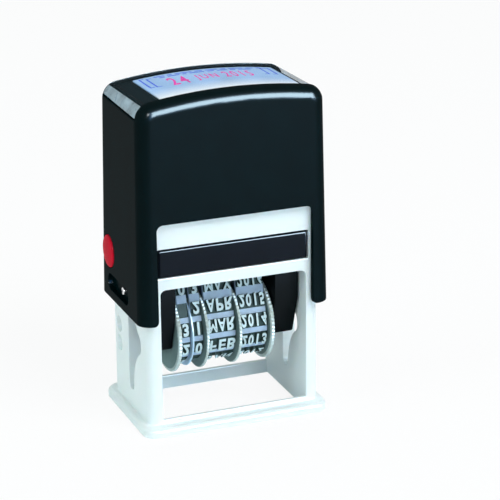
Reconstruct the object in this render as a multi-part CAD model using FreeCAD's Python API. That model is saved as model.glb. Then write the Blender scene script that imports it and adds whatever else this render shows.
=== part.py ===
import FreeCAD, Part
import math
import os
from FreeCAD import Vector

# Self-inking date stamp. Millimetres, +Z up, origin at the bottom centre of the foot.
# X runs left to right along the printed line, the front is towards -Y.

# Motion
stroke = 28.0                  # how far the cap travels down
pivot_z = 38.0                 # height of the turning pins with the cap up
flip_angle = math.pi           # the dater turns half a turn over the stroke
cycloid = stroke / flip_angle  # travel per radian, which shapes the cam slot

# Clearances
slide_gap = 0.3                # cap on frame, to each side
running_gap = 0.05             # turning pins and wheels on the axle
seat_gap = 0.02                # pieces that are pushed home
side_gap = 0.2                 # between neighbours on the axle
cam_gap = 0.25                 # cam key in its slot
overrun = 1.0                  # how far a cut runs past the face it leaves

# Frame
frame_side_wall = 3.9
wheel_room = 2.1               # between the wheels and the bars over the window, front and rear
frame_corner_radius = 2.8
frame_top_z = 62.2
window_top_z = 42.5
window_corner_radius = 1.6
crossbar_thickness = 1.5
rail_height = 4.0
foot_wall = 1.3                # front and rear walls of the foot's opening
flange_side_reach = 2.1
flange_front_reach = 3.3
flange_thickness = 2.8
flange_corner_radius = 4.2
flange_edge_chamfer = 0.8
ledge_z = 46.0
chamber_side_wall = 3.1
chamber_height = 8.4
roof_plate_thickness = 1.6
top_wall_side = 2.0
top_wall_front = 2.0
top_edge_chamfer = 0.5

# Cap
cap_side_wall = 2.4
cap_front_wall = 2.0
cap_draft_deg = 0.85
cap_lower_z = 33.0
roof_room = 3.0                # under the cap's roof with the cap pressed home
roof_depth = 4.6               # roof's inside below the crown
crown_radius = 150.0
crown_tilt_deg = 2.0           # the top falls a little towards the back
crown_front_y = -14.0          # where the crown has its stated height
shoulder_radius = 4.8
front_rim_radius = 4.0
rear_rim_radius = 4.0
rim_steps = 4                  # flats that make up each rounded rim
shoulder_steps = 6             # flats that make up each rounded shoulder
crown_steps = 5                # flats that make up each half of the crown
section_rounds = 6             # repeats that settle where the shoulder rounds start
cap_inner_corner_radius = 3.1
leg_width = 5.3                # of the cap's front and rear legs beside the cut-outs
cutout_top_z = 62.0
cutout_corner_radius = 1.8
leg_corner_radius = 1.5        # lower inner corners of the legs beside the cut-outs
recess_front_y = -6.8
recess_rear_y = 10.8
recess_height = 4.8
recess_depth = 1.0

# Lens and index card in the top
lens_front_y = -13.4
lens_rear_y = 14.2
lens_fall = 6.2                # from the crown down to the lens's lower ends
lens_drop = 0.3
lens_thickness = 1.0
card_thickness = 0.3
pocket_end_inset = 4.9         # card pocket from the cap's sides
card_play = 5.0                # the card lies against the right end of its longer pocket
card_depth = 26.6

# Turning pins
pin_radius = 1.1
pin_engagement = 3.1           # how deep the pins reach into the dater
pin_proud = 0.25

# Lock buttons
button_y = 10.0
button_z = 46.7
button_radius = 4.65
button_gap = 0.15
button_head_thickness = 1.4
button_rise = 0.5              # straight rim that stands out of the cap
button_dome = 0.55
button_shoulder_share = 0.6    # where the dome's two cones meet, as a share of its radius
button_stem_radius = 1.8
button_travel = 1.5
notch_radius = 2.3
notch_end_gap = 0.5            # left under the stem when the button is pressed home
lock_height = 5.65             # the lowered cap locks this far above its lowest place

# Spring
spring_mean_radius = 5.2
spring_wire_radius = 0.5
spring_turns = 7.5
spring_steps = 14              # straight pieces in each turn
spring_wire_sides = 6
spring_seat_gap = 0.05
stud_radius = 4.2
stud_height = 2.0

# Ink pad cartridge
pad_side_gap = 0.4
pad_height = 8.1
pad_floor_gap = 0.1
pad_front_wall = 1.7
pad_rear_wall = 1.5
pad_side_wall = 1.05
pad_top_wall = 1.3
pad_bevel = 0.7
pad_rear_inset = 0.2
felt_face_z = 48.2
felt_rib = 0.4
felt_gap = 0.05
felt_middle_depth = 9.9
pad_rear_lip_gap = 0.2

# Dater: heights are measured from the turning pins towards the ink pad
die_face_h = 9.6
rubber_thickness = 1.7
die_plate_thickness = 1.3
holder_plate_thickness = 3.0
text_die_inset = 0.4
text_die_outer_y = 11.6
text_die_inner_y = 5.3
die_plate_inset = 0.4
die_plate_depth = 24.0
die_plate_corner_radius = 1.0
die_plate_slot_y = 5.5         # the slots for the bands reach this far from the centre line
left_arm_thickness = 5.5
right_arm_thickness = 7.0
holder_side_gap = 0.5          # to the frame's side walls
holder_slot_y = 5.7
arm_half_width = 10.9
arm_shoulder_drop = 5.0        # the arms taper from here, below the turning pins
arm_foot_drop = 17.0           # lower ends of the arms below the turning pins
arm_foot_half_width = 6.8
arm_foot_radius = 1.5
arm_gap = 0.3                  # between the arms and the outer wheels
key_length = 7.0
key_half_width = 1.7
key_end_gap = 0.3
flank_steps = 8                # spans of the curve that the key's flank sweeps

# Wheels and bands
axle_drop = 13.5               # axle below the turning pins
axle_radius = 1.5
axle_end_cover = 1.6           # left of each cheek outside the axle
wheel_radius = 12.0
band_drum_radius = 9.3         # outside of the bare band on its wheel
band_thickness = 1.0
band_play = 0.3                # between band and wheel
type_height = 0.9
type_row_length = 4.0
type_pitch = 5.75
type_root = 0.4
band_nose_radius = 1.6
band_nose_half_width = 1.9     # centres of the nose rounds
platen_gap = 0.05
platen_height = 5.0
end_disc_thickness = 1.3
inner_disc_thickness = 1.0
divider_thickness = 0.5
divider_radius = 10.8
tens_band_width = 2.9
units_band_width = 2.9
month_band_width = 8.4
year_band_width = 8.2
stack_gaps = 8                 # gaps between the nine neighbours on the axle

# Widths, worked out from the bands outwards
stack_length = (2 * end_disc_thickness + 2 * inner_disc_thickness + divider_thickness + tens_band_width
                + units_band_width + month_band_width + year_band_width + stack_gaps * side_gap)
holder_length = stack_length + 2 * arm_gap + left_arm_thickness + right_arm_thickness
stack_left_x = -holder_length / 2 + left_arm_thickness + arm_gap
die_plate_length = holder_length - 2 * die_plate_inset
text_die_length = die_plate_length - 2 * text_die_inset
axle_length = holder_length - 2 * axle_end_cover
pin_inner_x = holder_length / 2 - pin_engagement
window_width = holder_length + 2 * holder_side_gap
frame_width = window_width + 2 * frame_side_wall
flange_width = frame_width + 2 * flange_side_reach
chamber_width = frame_width - 2 * chamber_side_wall
pad_width = chamber_width - 2 * pad_side_gap
cap_width = frame_width + 2 * (slide_gap + cap_side_wall)
cutout_width = cap_width - 2 * leg_width
pocket_length = cap_width - 2 * pocket_end_inset
card_length = pocket_length - 2 * seat_gap - card_play

# Depths, worked out from the wheels outwards
frame_depth = 2 * (wheel_radius + wheel_room + crossbar_thickness)
well_depth = frame_depth - 2 * foot_wall
flange_depth = frame_depth + 2 * flange_front_reach
cap_depth = frame_depth + 2 * (slide_gap + cap_front_wall)

# Heights and places
half_frame_width = frame_width / 2
half_frame_depth = frame_depth / 2
half_window = window_width / 2
half_cavity_width = half_frame_width + slide_gap
half_cavity_depth = half_frame_depth + slide_gap
cap_roof_z = frame_top_z + stroke + roof_room
crown_top_z = cap_roof_z + roof_depth
lens_end_z = crown_top_z - lens_fall
chamber_top_z = ledge_z + chamber_height
spring_seat_z = chamber_top_z + roof_plate_thickness
slot_half_width = key_half_width + cam_gap
notch_depth = button_travel - slide_gap + notch_end_gap
pad_bottom_z = ledge_z + pad_floor_gap
pad_top_z = pad_bottom_z + pad_height
axle_z = pivot_z - axle_drop
die_face_z = pivot_z + die_face_h
rubber_back_z = die_face_z - rubber_thickness
plate_back_z = rubber_back_z - die_plate_thickness
holder_back_z = plate_back_z - holder_plate_thickness
nose_z = die_face_z - type_height - band_nose_radius
draft_slope = math.tan(math.radians(cap_draft_deg))

# Places along the axle, from left to right
tens_disc_x = stack_left_x
tens_band_x = tens_disc_x + end_disc_thickness + side_gap
divider_x = tens_band_x + tens_band_width + side_gap
units_band_x = divider_x + divider_thickness + side_gap
units_disc_x = units_band_x + units_band_width + side_gap
month_band_x = units_disc_x + inner_disc_thickness + side_gap
month_disc_x = month_band_x + month_band_width + side_gap
year_band_x = month_disc_x + inner_disc_thickness + side_gap
year_disc_x = year_band_x + year_band_width + side_gap
stack_right_x = year_disc_x + end_disc_thickness
left_arm_x = stack_left_x - arm_gap
right_arm_x = stack_right_x + arm_gap

along_x = Vector(1, 0, 0)


def block(x0, x1, y0, y1, z0, z1):
    """A box between two corners."""
    return Part.makeBox(x1 - x0, y1 - y0, z1 - z0, Vector(x0, y0, z0))


def rounded_block(width, depth, z0, z1, radius):
    """A box about the Z axis with its four upright edges rounded."""
    solid = block(-width / 2, width / 2, -depth / 2, depth / 2, z0, z1)
    upright = [e for e in solid.Edges if e.BoundBox.ZLength > (z1 - z0) / 2]
    return solid.makeFillet(radius, upright)


def rod(radius, x0, x1, y, z):
    """A round bar along X."""
    return Part.makeCylinder(radius, x1 - x0, Vector(x0, y, z), along_x)


def window_block(width, y0, y1, z0, z1, radius):
    """A box along Y with its two upper long edges rounded."""
    solid = block(-width / 2, width / 2, y0, y1, z0, z1)
    upper = [e for e in solid.Edges
             if abs(e.CenterOfMass.z - z1) < seat_gap and abs(e.CenterOfMass.x) > width / 4]
    return solid.makeFillet(radius, upper)


def obround(x0, x1, y0, z0, y1, z1, radius):
    """A bar along X whose section is two equal circles and the band between them."""
    side = Vector(0, z1 - z0, y0 - y1)
    side.normalize()
    side = side * radius
    first = Vector(x0, y0, z0)
    last = Vector(x0, y1, z1)
    reach = last - first
    reach.normalize()
    reach = reach * radius
    edges = [Part.LineSegment(first + side, last + side).toShape(),
             Part.Arc(last + side, last + reach, last - side).toShape(),
             Part.LineSegment(last - side, first - side).toShape(),
             Part.Arc(first - side, first - reach, first + side).toShape()]
    return Part.Face(Part.Wire(edges)).extrude(Vector(x1 - x0, 0, 0))


def mirrored(solid):
    """The same solid on the other side of the YZ plane."""
    return solid.mirror(Vector(0, 0, 0), along_x)


def cut_both_sides(solid, tools):
    """Cut the left wall of a symmetric solid, then the right one the same way."""
    for _ in ("left", "right"):
        for tool in tools:
            solid = solid.cut(tool)
        solid = mirrored(solid)
    return solid


class Loop:
    """Belt line round a wheel and two small nose rounds, in the YZ plane."""

    def __init__(self, drum_radius, nose_radius, nose_half_width, top_z):
        self.drum_radius = drum_radius
        self.nose_radius = nose_radius
        self.nose_half_width = nose_half_width
        self.top_z = top_z
        rise = top_z - axle_z
        reach = math.hypot(nose_half_width, rise)
        lean = math.atan2(rise, nose_half_width)
        self.normal = lean - math.acos((drum_radius - nose_radius) / reach)
        self.top = nose_half_width
        self.nose = nose_radius * (math.pi / 2 - self.normal)
        self.run = math.sqrt(reach ** 2 - (drum_radius - nose_radius) ** 2)
        self.drum = drum_radius * (math.pi / 2 + self.normal)
        self.half_length = self.top + self.nose + self.run + self.drum

    def point(self, distance):
        """Place and outward angle at a distance along the belt from the top centre towards +Y."""
        sign = 1 if distance >= 0 else -1
        rest = abs(distance)
        if rest <= self.top:
            y, z, angle = rest, self.top_z + self.nose_radius, math.pi / 2
        elif rest <= self.top + self.nose:
            angle = math.pi / 2 - (rest - self.top) / self.nose_radius
            y = self.nose_half_width + self.nose_radius * math.cos(angle)
            z = self.top_z + self.nose_radius * math.sin(angle)
        elif rest <= self.top + self.nose + self.run:
            angle = self.normal
            gone = rest - self.top - self.nose
            y = self.nose_half_width + self.nose_radius * math.cos(angle) + gone * math.sin(angle)
            z = self.top_z + self.nose_radius * math.sin(angle) - gone * math.cos(angle)
        else:
            angle = self.normal - (rest - self.top - self.nose - self.run) / self.drum_radius
            y = self.drum_radius * math.cos(angle)
            z = axle_z + self.drum_radius * math.sin(angle)
        return sign * y, z, (angle if sign > 0 else math.pi - angle)

    def face(self, x):
        """The area inside the belt line, as a face at one place along X."""
        def at(distance):
            y, z, _ = self.point(distance)
            return Vector(x, y, z)
        first = self.top
        second = first + self.nose
        third = second + self.run
        edges = [Part.LineSegment(at(-first), at(first)).toShape(),
                 Part.Arc(at(first), at((first + second) / 2), at(second)).toShape(),
                 Part.LineSegment(at(second), at(third)).toShape(),
                 Part.Arc(at(third), at(self.half_length), at(-third)).toShape(),
                 Part.LineSegment(at(-third), at(-second)).toShape(),
                 Part.Arc(at(-second), at(-(first + second) / 2), at(-first)).toShape()]
        return Part.Face(Part.Wire(edges))

    def bar(self, x0, x1):
        """The area inside the belt line, drawn out along X."""
        return self.face(x0).extrude(Vector(x1 - x0, 0, 0))


def cam_slot():
    """Slot in the left wall: a straight run for the pin with a lobe swept by the turning key.

    The key's flank sweeps a cycloid while the dater turns evenly over the stroke.
    """
    x0 = -half_frame_width - overrun
    x1 = -half_window + overrun
    lowest_z = pivot_z - stroke
    middle_z = pivot_z - stroke / 2
    straight = obround(x0, x1, 0, lowest_z, 0, pivot_z, slot_half_width)
    last_angle = math.asin(key_length / cycloid)
    flank = []
    for step in range(flank_steps + 1):
        turn = last_angle * step / flank_steps
        y = -cycloid * math.sin(turn) ** 2 - slot_half_width * math.cos(turn)
        z = pivot_z - cycloid * (turn + math.sin(turn) * math.cos(turn)) + slot_half_width * math.sin(turn)
        flank.append(Vector(x0, y, z))
    lower = [Vector(x0, p.y, 2 * middle_z - p.z) for p in reversed(flank)]
    tip = Vector(x0, -key_length - slot_half_width, middle_z)
    open_side = [lower[-1], Vector(x0, 0, lowest_z), Vector(x0, 0, pivot_z), flank[0]]
    edges = (Part.makePolygon(flank).Edges + [Part.Arc(flank[-1], tip, lower[0]).toShape()]
             + Part.makePolygon(lower).Edges + Part.makePolygon(open_side).Edges)
    lobe = Part.Face(Part.Wire(edges)).extrude(Vector(x1 - x0, 0, 0))
    return straight.fuse(lobe).removeSplitter()


def lock_notches():
    """Blind notches in the left wall for the lock button's stem: cap up, locked and fully down."""
    x0 = -half_frame_width - overrun
    x1 = -half_frame_width + notch_depth
    upper = rod(notch_radius, x0, x1, button_y, button_z)
    lowest = rod(notch_radius, x0, x1, button_y, button_z - stroke)
    lock = rod(notch_radius, x0, x1, button_y, button_z - stroke + lock_height)
    return upper.fuse(lowest).fuse(lock)


def base_frame():
    """White skeleton: foot ring, side walls with cam slots, pad chamber and spring tray."""
    foot = rounded_block(flange_width, flange_depth, 0, flange_thickness, flange_corner_radius)
    rim = [e for e in foot.Edges if abs(e.BoundBox.ZMin - flange_thickness) < seat_gap]
    foot = foot.makeChamfer(flange_edge_chamfer, rim)
    tower = rounded_block(frame_width, frame_depth, 0, frame_top_z, frame_corner_radius)
    top_rim = [e for e in tower.Edges if abs(e.BoundBox.ZMin - frame_top_z) < seat_gap]
    tower = tower.makeChamfer(top_edge_chamfer, top_rim)
    front_sill = block(-half_window - overrun, half_window + overrun,
                       -half_frame_depth, half_frame_depth, 0, rail_height)
    frame = foot.fuse(tower).fuse(front_sill)
    out_y = flange_depth
    frame = frame.cut(block(-half_window, half_window, -well_depth / 2, well_depth / 2,
                            -overrun, rail_height + overrun))
    frame = frame.cut(window_block(window_width, -out_y, out_y, rail_height, window_top_z,
                                   window_corner_radius))
    bar_y = half_frame_depth - crossbar_thickness
    frame = frame.cut(block(-half_window, half_window, -bar_y, bar_y, rail_height, ledge_z + overrun))
    frame = frame.cut(block(-chamber_width / 2, chamber_width / 2, -out_y, out_y, ledge_z, chamber_top_z))
    tray_x = half_frame_width - top_wall_side
    tray_y = half_frame_depth - top_wall_front
    frame = frame.cut(block(-tray_x, tray_x, -tray_y, tray_y, spring_seat_z, frame_top_z + overrun))
    frame = frame.fuse(Part.makeCylinder(stud_radius, stud_height, Vector(0, 0, spring_seat_z)))
    return cut_both_sides(frame, [cam_slot(), lock_notches()]).removeSplitter()


def crown_cylinder(drop, tilt_deg):
    """Everything under the crown of the cap's top, lowered by a drop."""
    tilt = math.radians(tilt_deg)
    direction = Vector(0, math.cos(tilt), -math.sin(tilt))
    centre = Vector(0, crown_front_y, crown_top_z - crown_radius / math.cos(tilt))
    start = centre - direction * cap_depth
    return Part.makeCylinder(crown_radius - drop, 3 * cap_depth, start, direction)


def cap_section(side, set_back, drop, z0):
    """Outline of the cap on a plane behind its front (-1) or rear (1) face: sides, shoulders, crown."""
    def place(x, z):
        return Vector(x, side * (cap_depth / 2 - draft_slope * (z - cap_lower_z) - set_back), z)

    lean = math.atan(draft_slope)
    tilt = math.tan(math.radians(crown_tilt_deg))
    centre_z = crown_top_z - crown_radius - tilt * (place(0, crown_top_z).y - crown_front_y)
    radius = shoulder_radius - drop
    reach = crown_radius - drop - radius
    foot_x = cap_width / 2 - drop - draft_slope * (z0 - cap_lower_z)
    z = crown_top_z
    for _ in range(section_rounds):
        x = foot_x - draft_slope * (z - z0) - radius / math.cos(lean)
        z = centre_z + math.sqrt(reach ** 2 - x ** 2)
    crown_start = math.atan2(z - centre_z, x)
    right = [place(foot_x, z0)]
    for step in range(shoulder_steps + 1):
        angle = lean + (crown_start - lean) * step / shoulder_steps
        right.append(place(x + radius * math.cos(angle), z + radius * math.sin(angle)))
    for step in range(1, crown_steps + 1):
        angle = crown_start + (math.pi / 2 - crown_start) * step / crown_steps
        right.append(place((crown_radius - drop) * math.cos(angle),
                           centre_z + (crown_radius - drop) * math.sin(angle)))
    left = [Vector(-p.x, p.y, p.z) for p in reversed(right[:-1])]
    return Part.makePolygon(right + left + right[:1])


def crowned_block(drop, z0):
    """Tapered block under the crown with rounded shoulders, lowered and moved in by a drop."""
    return Part.makeLoft([cap_section(-1, 0, drop, z0), cap_section(1, 0, drop, z0)], True, True)


def rimmed_block(z0):
    """The outside of the cap, with its front and rear rims rounded."""
    sections = []
    for step in range(rim_steps + 1):
        turn = math.pi / 2 * step / rim_steps
        sections.append(cap_section(-1, front_rim_radius * (1 - math.cos(turn)),
                                    front_rim_radius * (1 - math.sin(turn)), z0))
    for step in range(rim_steps, -1, -1):
        turn = math.pi / 2 * step / rim_steps
        sections.append(cap_section(1, rear_rim_radius * (1 - math.cos(turn)),
                                    rear_rim_radius * (1 - math.sin(turn)), z0))
    return Part.makeLoft(sections, True, True)


def lens_zone(gap):
    """The part of the cap's top that the lens takes up."""
    return block(-cap_width, cap_width, lens_front_y - gap, lens_rear_y + gap,
                 lens_end_z - gap, crown_top_z + overrun)


def leg_corner():
    """What is cut off to round the lower inner corners of the left legs."""
    x = -cutout_width / 2
    corner = block(x - leg_corner_radius, x + overrun, -cap_depth, cap_depth,
                   cap_lower_z - overrun, cap_lower_z + leg_corner_radius)
    kept = Part.makeCylinder(leg_corner_radius, 2 * cap_depth,
                             Vector(x - leg_corner_radius, -cap_depth, cap_lower_z + leg_corner_radius),
                             Vector(0, 1, 0))
    return corner.cut(kept)


def cap_shell():
    """Black outer cap: slides on the frame, carries the dater's pins and the index card."""
    cap = rimmed_block(cap_lower_z)
    hollow = rounded_block(2 * half_cavity_width, 2 * half_cavity_depth,
                           cap_lower_z - overrun, crown_top_z, cap_inner_corner_radius)
    hollow = hollow.common(crown_cylinder(crown_top_z - cap_roof_z, 0))
    cap = cap.cut(hollow)
    cap = cap.cut(window_block(cutout_width, -cap_depth, cap_depth, cap_lower_z - overrun,
                               cutout_top_z, cutout_corner_radius))
    seat_drop = lens_drop + lens_thickness + seat_gap
    cap = cap.cut(lens_zone(seat_gap).cut(crowned_block(seat_drop, cap_roof_z - shoulder_radius * 2)))
    pocket = block(-pocket_length / 2, pocket_length / 2, card_front_y() - seat_gap,
                   card_rear_y() + seat_gap, cap_roof_z, crown_top_z)
    cap = cap.cut(pocket.cut(crown_cylinder(seat_drop + card_thickness + 2 * seat_gap, crown_tilt_deg)))
    cap = cap.fuse(Part.makeCylinder(stud_radius, stud_height + overrun,
                                     Vector(0, 0, cap_roof_z - stud_height)))
    pin_bore = rod(pin_radius + seat_gap, -cap_width, -half_frame_width, 0, pivot_z)
    button_hole = rod(button_radius + button_gap, -cap_width, -half_frame_width, button_y, button_z)
    end_radius = recess_height / 2
    recess = obround(-cap_width, -cap_width / 2 + recess_depth, recess_front_y + end_radius, pivot_z,
                     recess_rear_y - end_radius, pivot_z, end_radius)
    return cut_both_sides(cap, [pin_bore, button_hole, recess, leg_corner()])


def card_front_y():
    return (lens_front_y + lens_rear_y - card_depth) / 2


def card_rear_y():
    return card_front_y() + card_depth


def window_lens():
    """Clear cover that clips over the index card and runs down both shoulders."""
    base_z = cap_roof_z - shoulder_radius * 2
    shell = crowned_block(lens_drop, base_z).cut(crowned_block(lens_drop + lens_thickness, base_z))
    return shell.common(lens_zone(0))


def index_card():
    """Printed slip under the lens."""
    top_drop = lens_drop + lens_thickness + 2 * seat_gap
    sheet = crown_cylinder(top_drop, crown_tilt_deg).cut(crown_cylinder(top_drop + card_thickness,
                                                                       crown_tilt_deg))
    right_x = pocket_length / 2 - seat_gap
    return sheet.common(block(right_x - card_length, right_x, card_front_y(), card_rear_y(),
                              cap_roof_z, crown_top_z))


def left_pin():
    """Steel pin from the cap's wall through the frame's cam slot into the dater."""
    outer_x = -cap_width / 2 + recess_depth - pin_proud
    return rod(pin_radius, outer_x, -pin_inner_x, 0, pivot_z)


def left_button():
    """Red lock button: domed head in the cap's wall, stem towards the frame."""
    face_x = cap_width / 2 - draft_slope * (button_z - cap_lower_z)
    rim_x = face_x + button_rise
    crest_x = rim_x + button_dome
    inner_x = rim_x - button_head_thickness
    tip_x = half_cavity_width
    shoulder_x = rim_x + button_dome * (1 - button_shoulder_share ** 2)
    outline = [Vector(tip_x, 0, 0), Vector(tip_x, button_stem_radius, 0),
               Vector(inner_x, button_stem_radius, 0), Vector(inner_x, button_radius, 0),
               Vector(rim_x, button_radius, 0),
               Vector(shoulder_x, button_radius * button_shoulder_share, 0), Vector(crest_x, 0, 0)]
    face = Part.Face(Part.makePolygon(outline + outline[:1]))
    button = face.revolve(Vector(0, 0, 0), along_x, 360)
    button.translate(Vector(0, button_y, button_z))
    return mirrored(button)


def return_spring():
    """Open-wound steel spring between the frame's spring tray and the cap's roof."""
    low_z = spring_seat_z + spring_seat_gap + spring_wire_radius
    high_z = cap_roof_z - spring_seat_gap - spring_wire_radius - spring_crown_drop()
    slope = (high_z - low_z) / (2 * math.pi * spring_turns)
    rings = []
    for step in range(int(spring_turns * spring_steps) + 1):
        angle = 2 * math.pi * step / spring_steps
        outward = Vector(math.cos(angle), math.sin(angle), 0)
        way = Vector(-math.sin(angle), math.cos(angle), slope / spring_mean_radius)
        way.normalize()
        upward = outward.cross(way)
        centre = outward * spring_mean_radius + Vector(0, 0, low_z + slope * angle)
        ring = []
        for side in range(spring_wire_sides):
            turn = 2 * math.pi * side / spring_wire_sides
            ring.append(centre + outward * (spring_wire_radius * math.cos(turn))
                        + upward * (spring_wire_radius * math.sin(turn)))
        rings.append(Part.makePolygon(ring + ring[:1]))
    return Part.makeLoft(rings, True, True)


def spring_crown_drop():
    """How much lower the cap's roof lies at the spring's edge than at its centre."""
    reach = spring_mean_radius + spring_wire_radius
    return crown_radius - math.sqrt(crown_radius ** 2 - reach ** 2)


def ink_pad_tray():
    """Black cartridge, open below, with the bevelled strip that shows at the front."""
    half_x = pad_width / 2
    front_y = -half_frame_depth
    rear_y = half_frame_depth - pad_rear_inset
    tray = block(-half_x, half_x, front_y, rear_y, pad_bottom_z, pad_top_z)
    face_edges = [e for e in tray.Edges if abs(e.BoundBox.YMax - front_y) < seat_gap]
    tray = tray.makeChamfer(pad_bevel, face_edges)
    inner_x = half_x - pad_side_wall
    inner_front = front_y + pad_front_wall
    inner_rear = rear_y - pad_rear_wall
    tray = tray.cut(block(-inner_x, inner_x, inner_front, inner_rear,
                          pad_bottom_z - overrun, pad_top_z - pad_top_wall))
    tray = tray.cut(block(-inner_x, inner_x, inner_rear - overrun, rear_y + overrun,
                          pad_bottom_z - overrun, felt_face_z + pad_rear_lip_gap))
    rib_y = felt_middle_depth / 2 + felt_gap
    for low_y in (-rib_y - felt_rib, rib_y):
        tray = tray.fuse(block(-inner_x, inner_x, low_y, low_y + felt_rib,
                               felt_face_z + pad_rear_lip_gap, pad_top_z - pad_top_wall))
    return tray.removeSplitter()


def felt(y0, y1):
    """One inked felt strip, face down."""
    half_x = pad_width / 2 - pad_side_wall - felt_gap
    return block(-half_x, half_x, y0, y1, felt_face_z, pad_top_z - pad_top_wall - seat_gap)


def felt_front():
    rib_y = felt_middle_depth / 2 + 2 * felt_gap + felt_rib
    return felt(-half_frame_depth + pad_front_wall + felt_gap, -rib_y)


def felt_middle():
    return felt(-felt_middle_depth / 2, felt_middle_depth / 2)


def felt_rear():
    rib_y = felt_middle_depth / 2 + 2 * felt_gap + felt_rib
    return felt(rib_y, half_frame_depth - pad_rear_inset - pad_rear_wall - felt_gap)


def arm(x0, x1):
    """Side cheek of the dater: wide beside the dies, tapered towards its foot below the axle."""
    shoulder_z = pivot_z - arm_shoulder_drop
    foot_z = pivot_z - arm_foot_drop
    front = [Vector(x0, -arm_half_width, plate_back_z), Vector(x0, -arm_half_width, shoulder_z),
             Vector(x0, -arm_foot_half_width, foot_z)]
    outline = front + [Vector(p.x, -p.y, p.z) for p in reversed(front)]
    cheek = Part.Face(Part.makePolygon(outline + outline[:1])).extrude(Vector(x1 - x0, 0, 0))
    foot = [e for e in cheek.Edges if e.BoundBox.ZMax < foot_z + seat_gap and e.BoundBox.XLength > seat_gap
            and e.BoundBox.YLength < seat_gap]
    return cheek.makeFillet(arm_foot_radius, foot)


def cam_key(x0, x1):
    """Key that turns the dater as it rides down the frame's cam slot."""
    return obround(x0, x1, 0, pivot_z, 0, pivot_z - key_length, key_half_width)


def die_holder():
    """Black carrier: two cheeks, the slotted bridge under the dies and the cam keys."""
    half_x = holder_length / 2
    half_y = die_plate_depth / 2
    bridge = block(-half_x, half_x, -half_y, half_y, holder_back_z, plate_back_z)
    bridge = bridge.cut(block(left_arm_x, right_arm_x, -holder_slot_y, holder_slot_y,
                              holder_back_z - overrun, plate_back_z + overrun))
    holder = bridge.fuse(arm(-half_x, left_arm_x)).fuse(arm(right_arm_x, half_x))
    key_x = half_frame_width - key_end_gap
    holder = holder.fuse(cam_key(-key_x, -half_x + overrun)).fuse(cam_key(half_x - overrun, key_x))
    holder = holder.cut(rod(pin_radius + running_gap, -key_x - overrun, -pin_inner_x + running_gap,
                            0, pivot_z))
    holder = holder.cut(rod(pin_radius + running_gap, pin_inner_x - running_gap, key_x + overrun,
                            0, pivot_z))
    holder = holder.cut(rod(axle_radius + seat_gap, -axle_length / 2 - seat_gap,
                            axle_length / 2 + seat_gap, 0, axle_z))
    return holder.removeSplitter()


def die_plate():
    """Thin plate that carries the text rubber, slotted for the date bands."""
    plate = rounded_block(die_plate_length, die_plate_depth, plate_back_z, rubber_back_z,
                          die_plate_corner_radius)
    return plate.cut(block(left_arm_x, right_arm_x, -die_plate_slot_y, die_plate_slot_y,
                           plate_back_z - overrun, rubber_back_z + overrun))


def text_die(y0, y1):
    """Strip of text rubber beside the date line."""
    return block(-text_die_length / 2, text_die_length / 2, y0, y1, rubber_back_z, die_face_z)


def band_loop(inset):
    """The belt line of the date bands, moved in by an inset."""
    return Loop(band_drum_radius - inset, band_nose_radius - inset, band_nose_half_width, nose_z)


def band_platen():
    """Bar that backs the bands where they print."""
    inset = band_thickness + platen_gap
    bar = band_loop(inset).bar(left_arm_x, right_arm_x)
    top_z = nose_z + band_nose_radius - inset
    return bar.common(block(left_arm_x, right_arm_x, -band_drum_radius, band_drum_radius,
                            top_z - platen_height, top_z + overrun))


def date_band(x, width):
    """Rubber belt with a raised row for each character group."""
    outer = band_loop(0)
    belt = outer.bar(x, x + width).cut(band_loop(band_thickness).bar(x, x + width))
    rows = int(2 * outer.half_length / type_pitch)
    for row in range(rows):
        distance = row * type_pitch
        if distance > outer.half_length:
            distance -= rows * type_pitch
        y, z, angle = outer.point(distance)
        slab = block(x, x + width, -type_row_length / 2, type_row_length / 2, -type_root, type_height)
        slab.rotate(Vector(0, 0, 0), along_x, math.degrees(angle) - 90)
        slab.translate(Vector(0, y, z))
        belt = belt.fuse(slab)
    return belt.removeSplitter()


def date_wheel(disc_x, disc_thickness, band_x, band_width):
    """Thumb wheel and the drum that its band runs on."""
    drum_radius = band_drum_radius - band_thickness - band_play
    low = min(disc_x, band_x)
    high = max(disc_x + disc_thickness, band_x + band_width)
    disc = rod(wheel_radius, disc_x, disc_x + disc_thickness, 0, axle_z)
    wheel = disc.fuse(rod(drum_radius, low, high, 0, axle_z))
    wheel = wheel.cut(rod(axle_radius + running_gap, low - overrun, high + overrun, 0, axle_z))
    return wheel.removeSplitter()


def day_divider():
    """Slim fixed disc between the two day bands."""
    disc = rod(divider_radius, divider_x, divider_x + divider_thickness, 0, axle_z)
    return disc.cut(rod(axle_radius + seat_gap, divider_x - overrun,
                        divider_x + divider_thickness + overrun, 0, axle_z))


def wheel_axle():
    """Steel axle through both cheeks and the four wheels."""
    return rod(axle_radius, -axle_length / 2, axle_length / 2, 0, axle_z)


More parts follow.
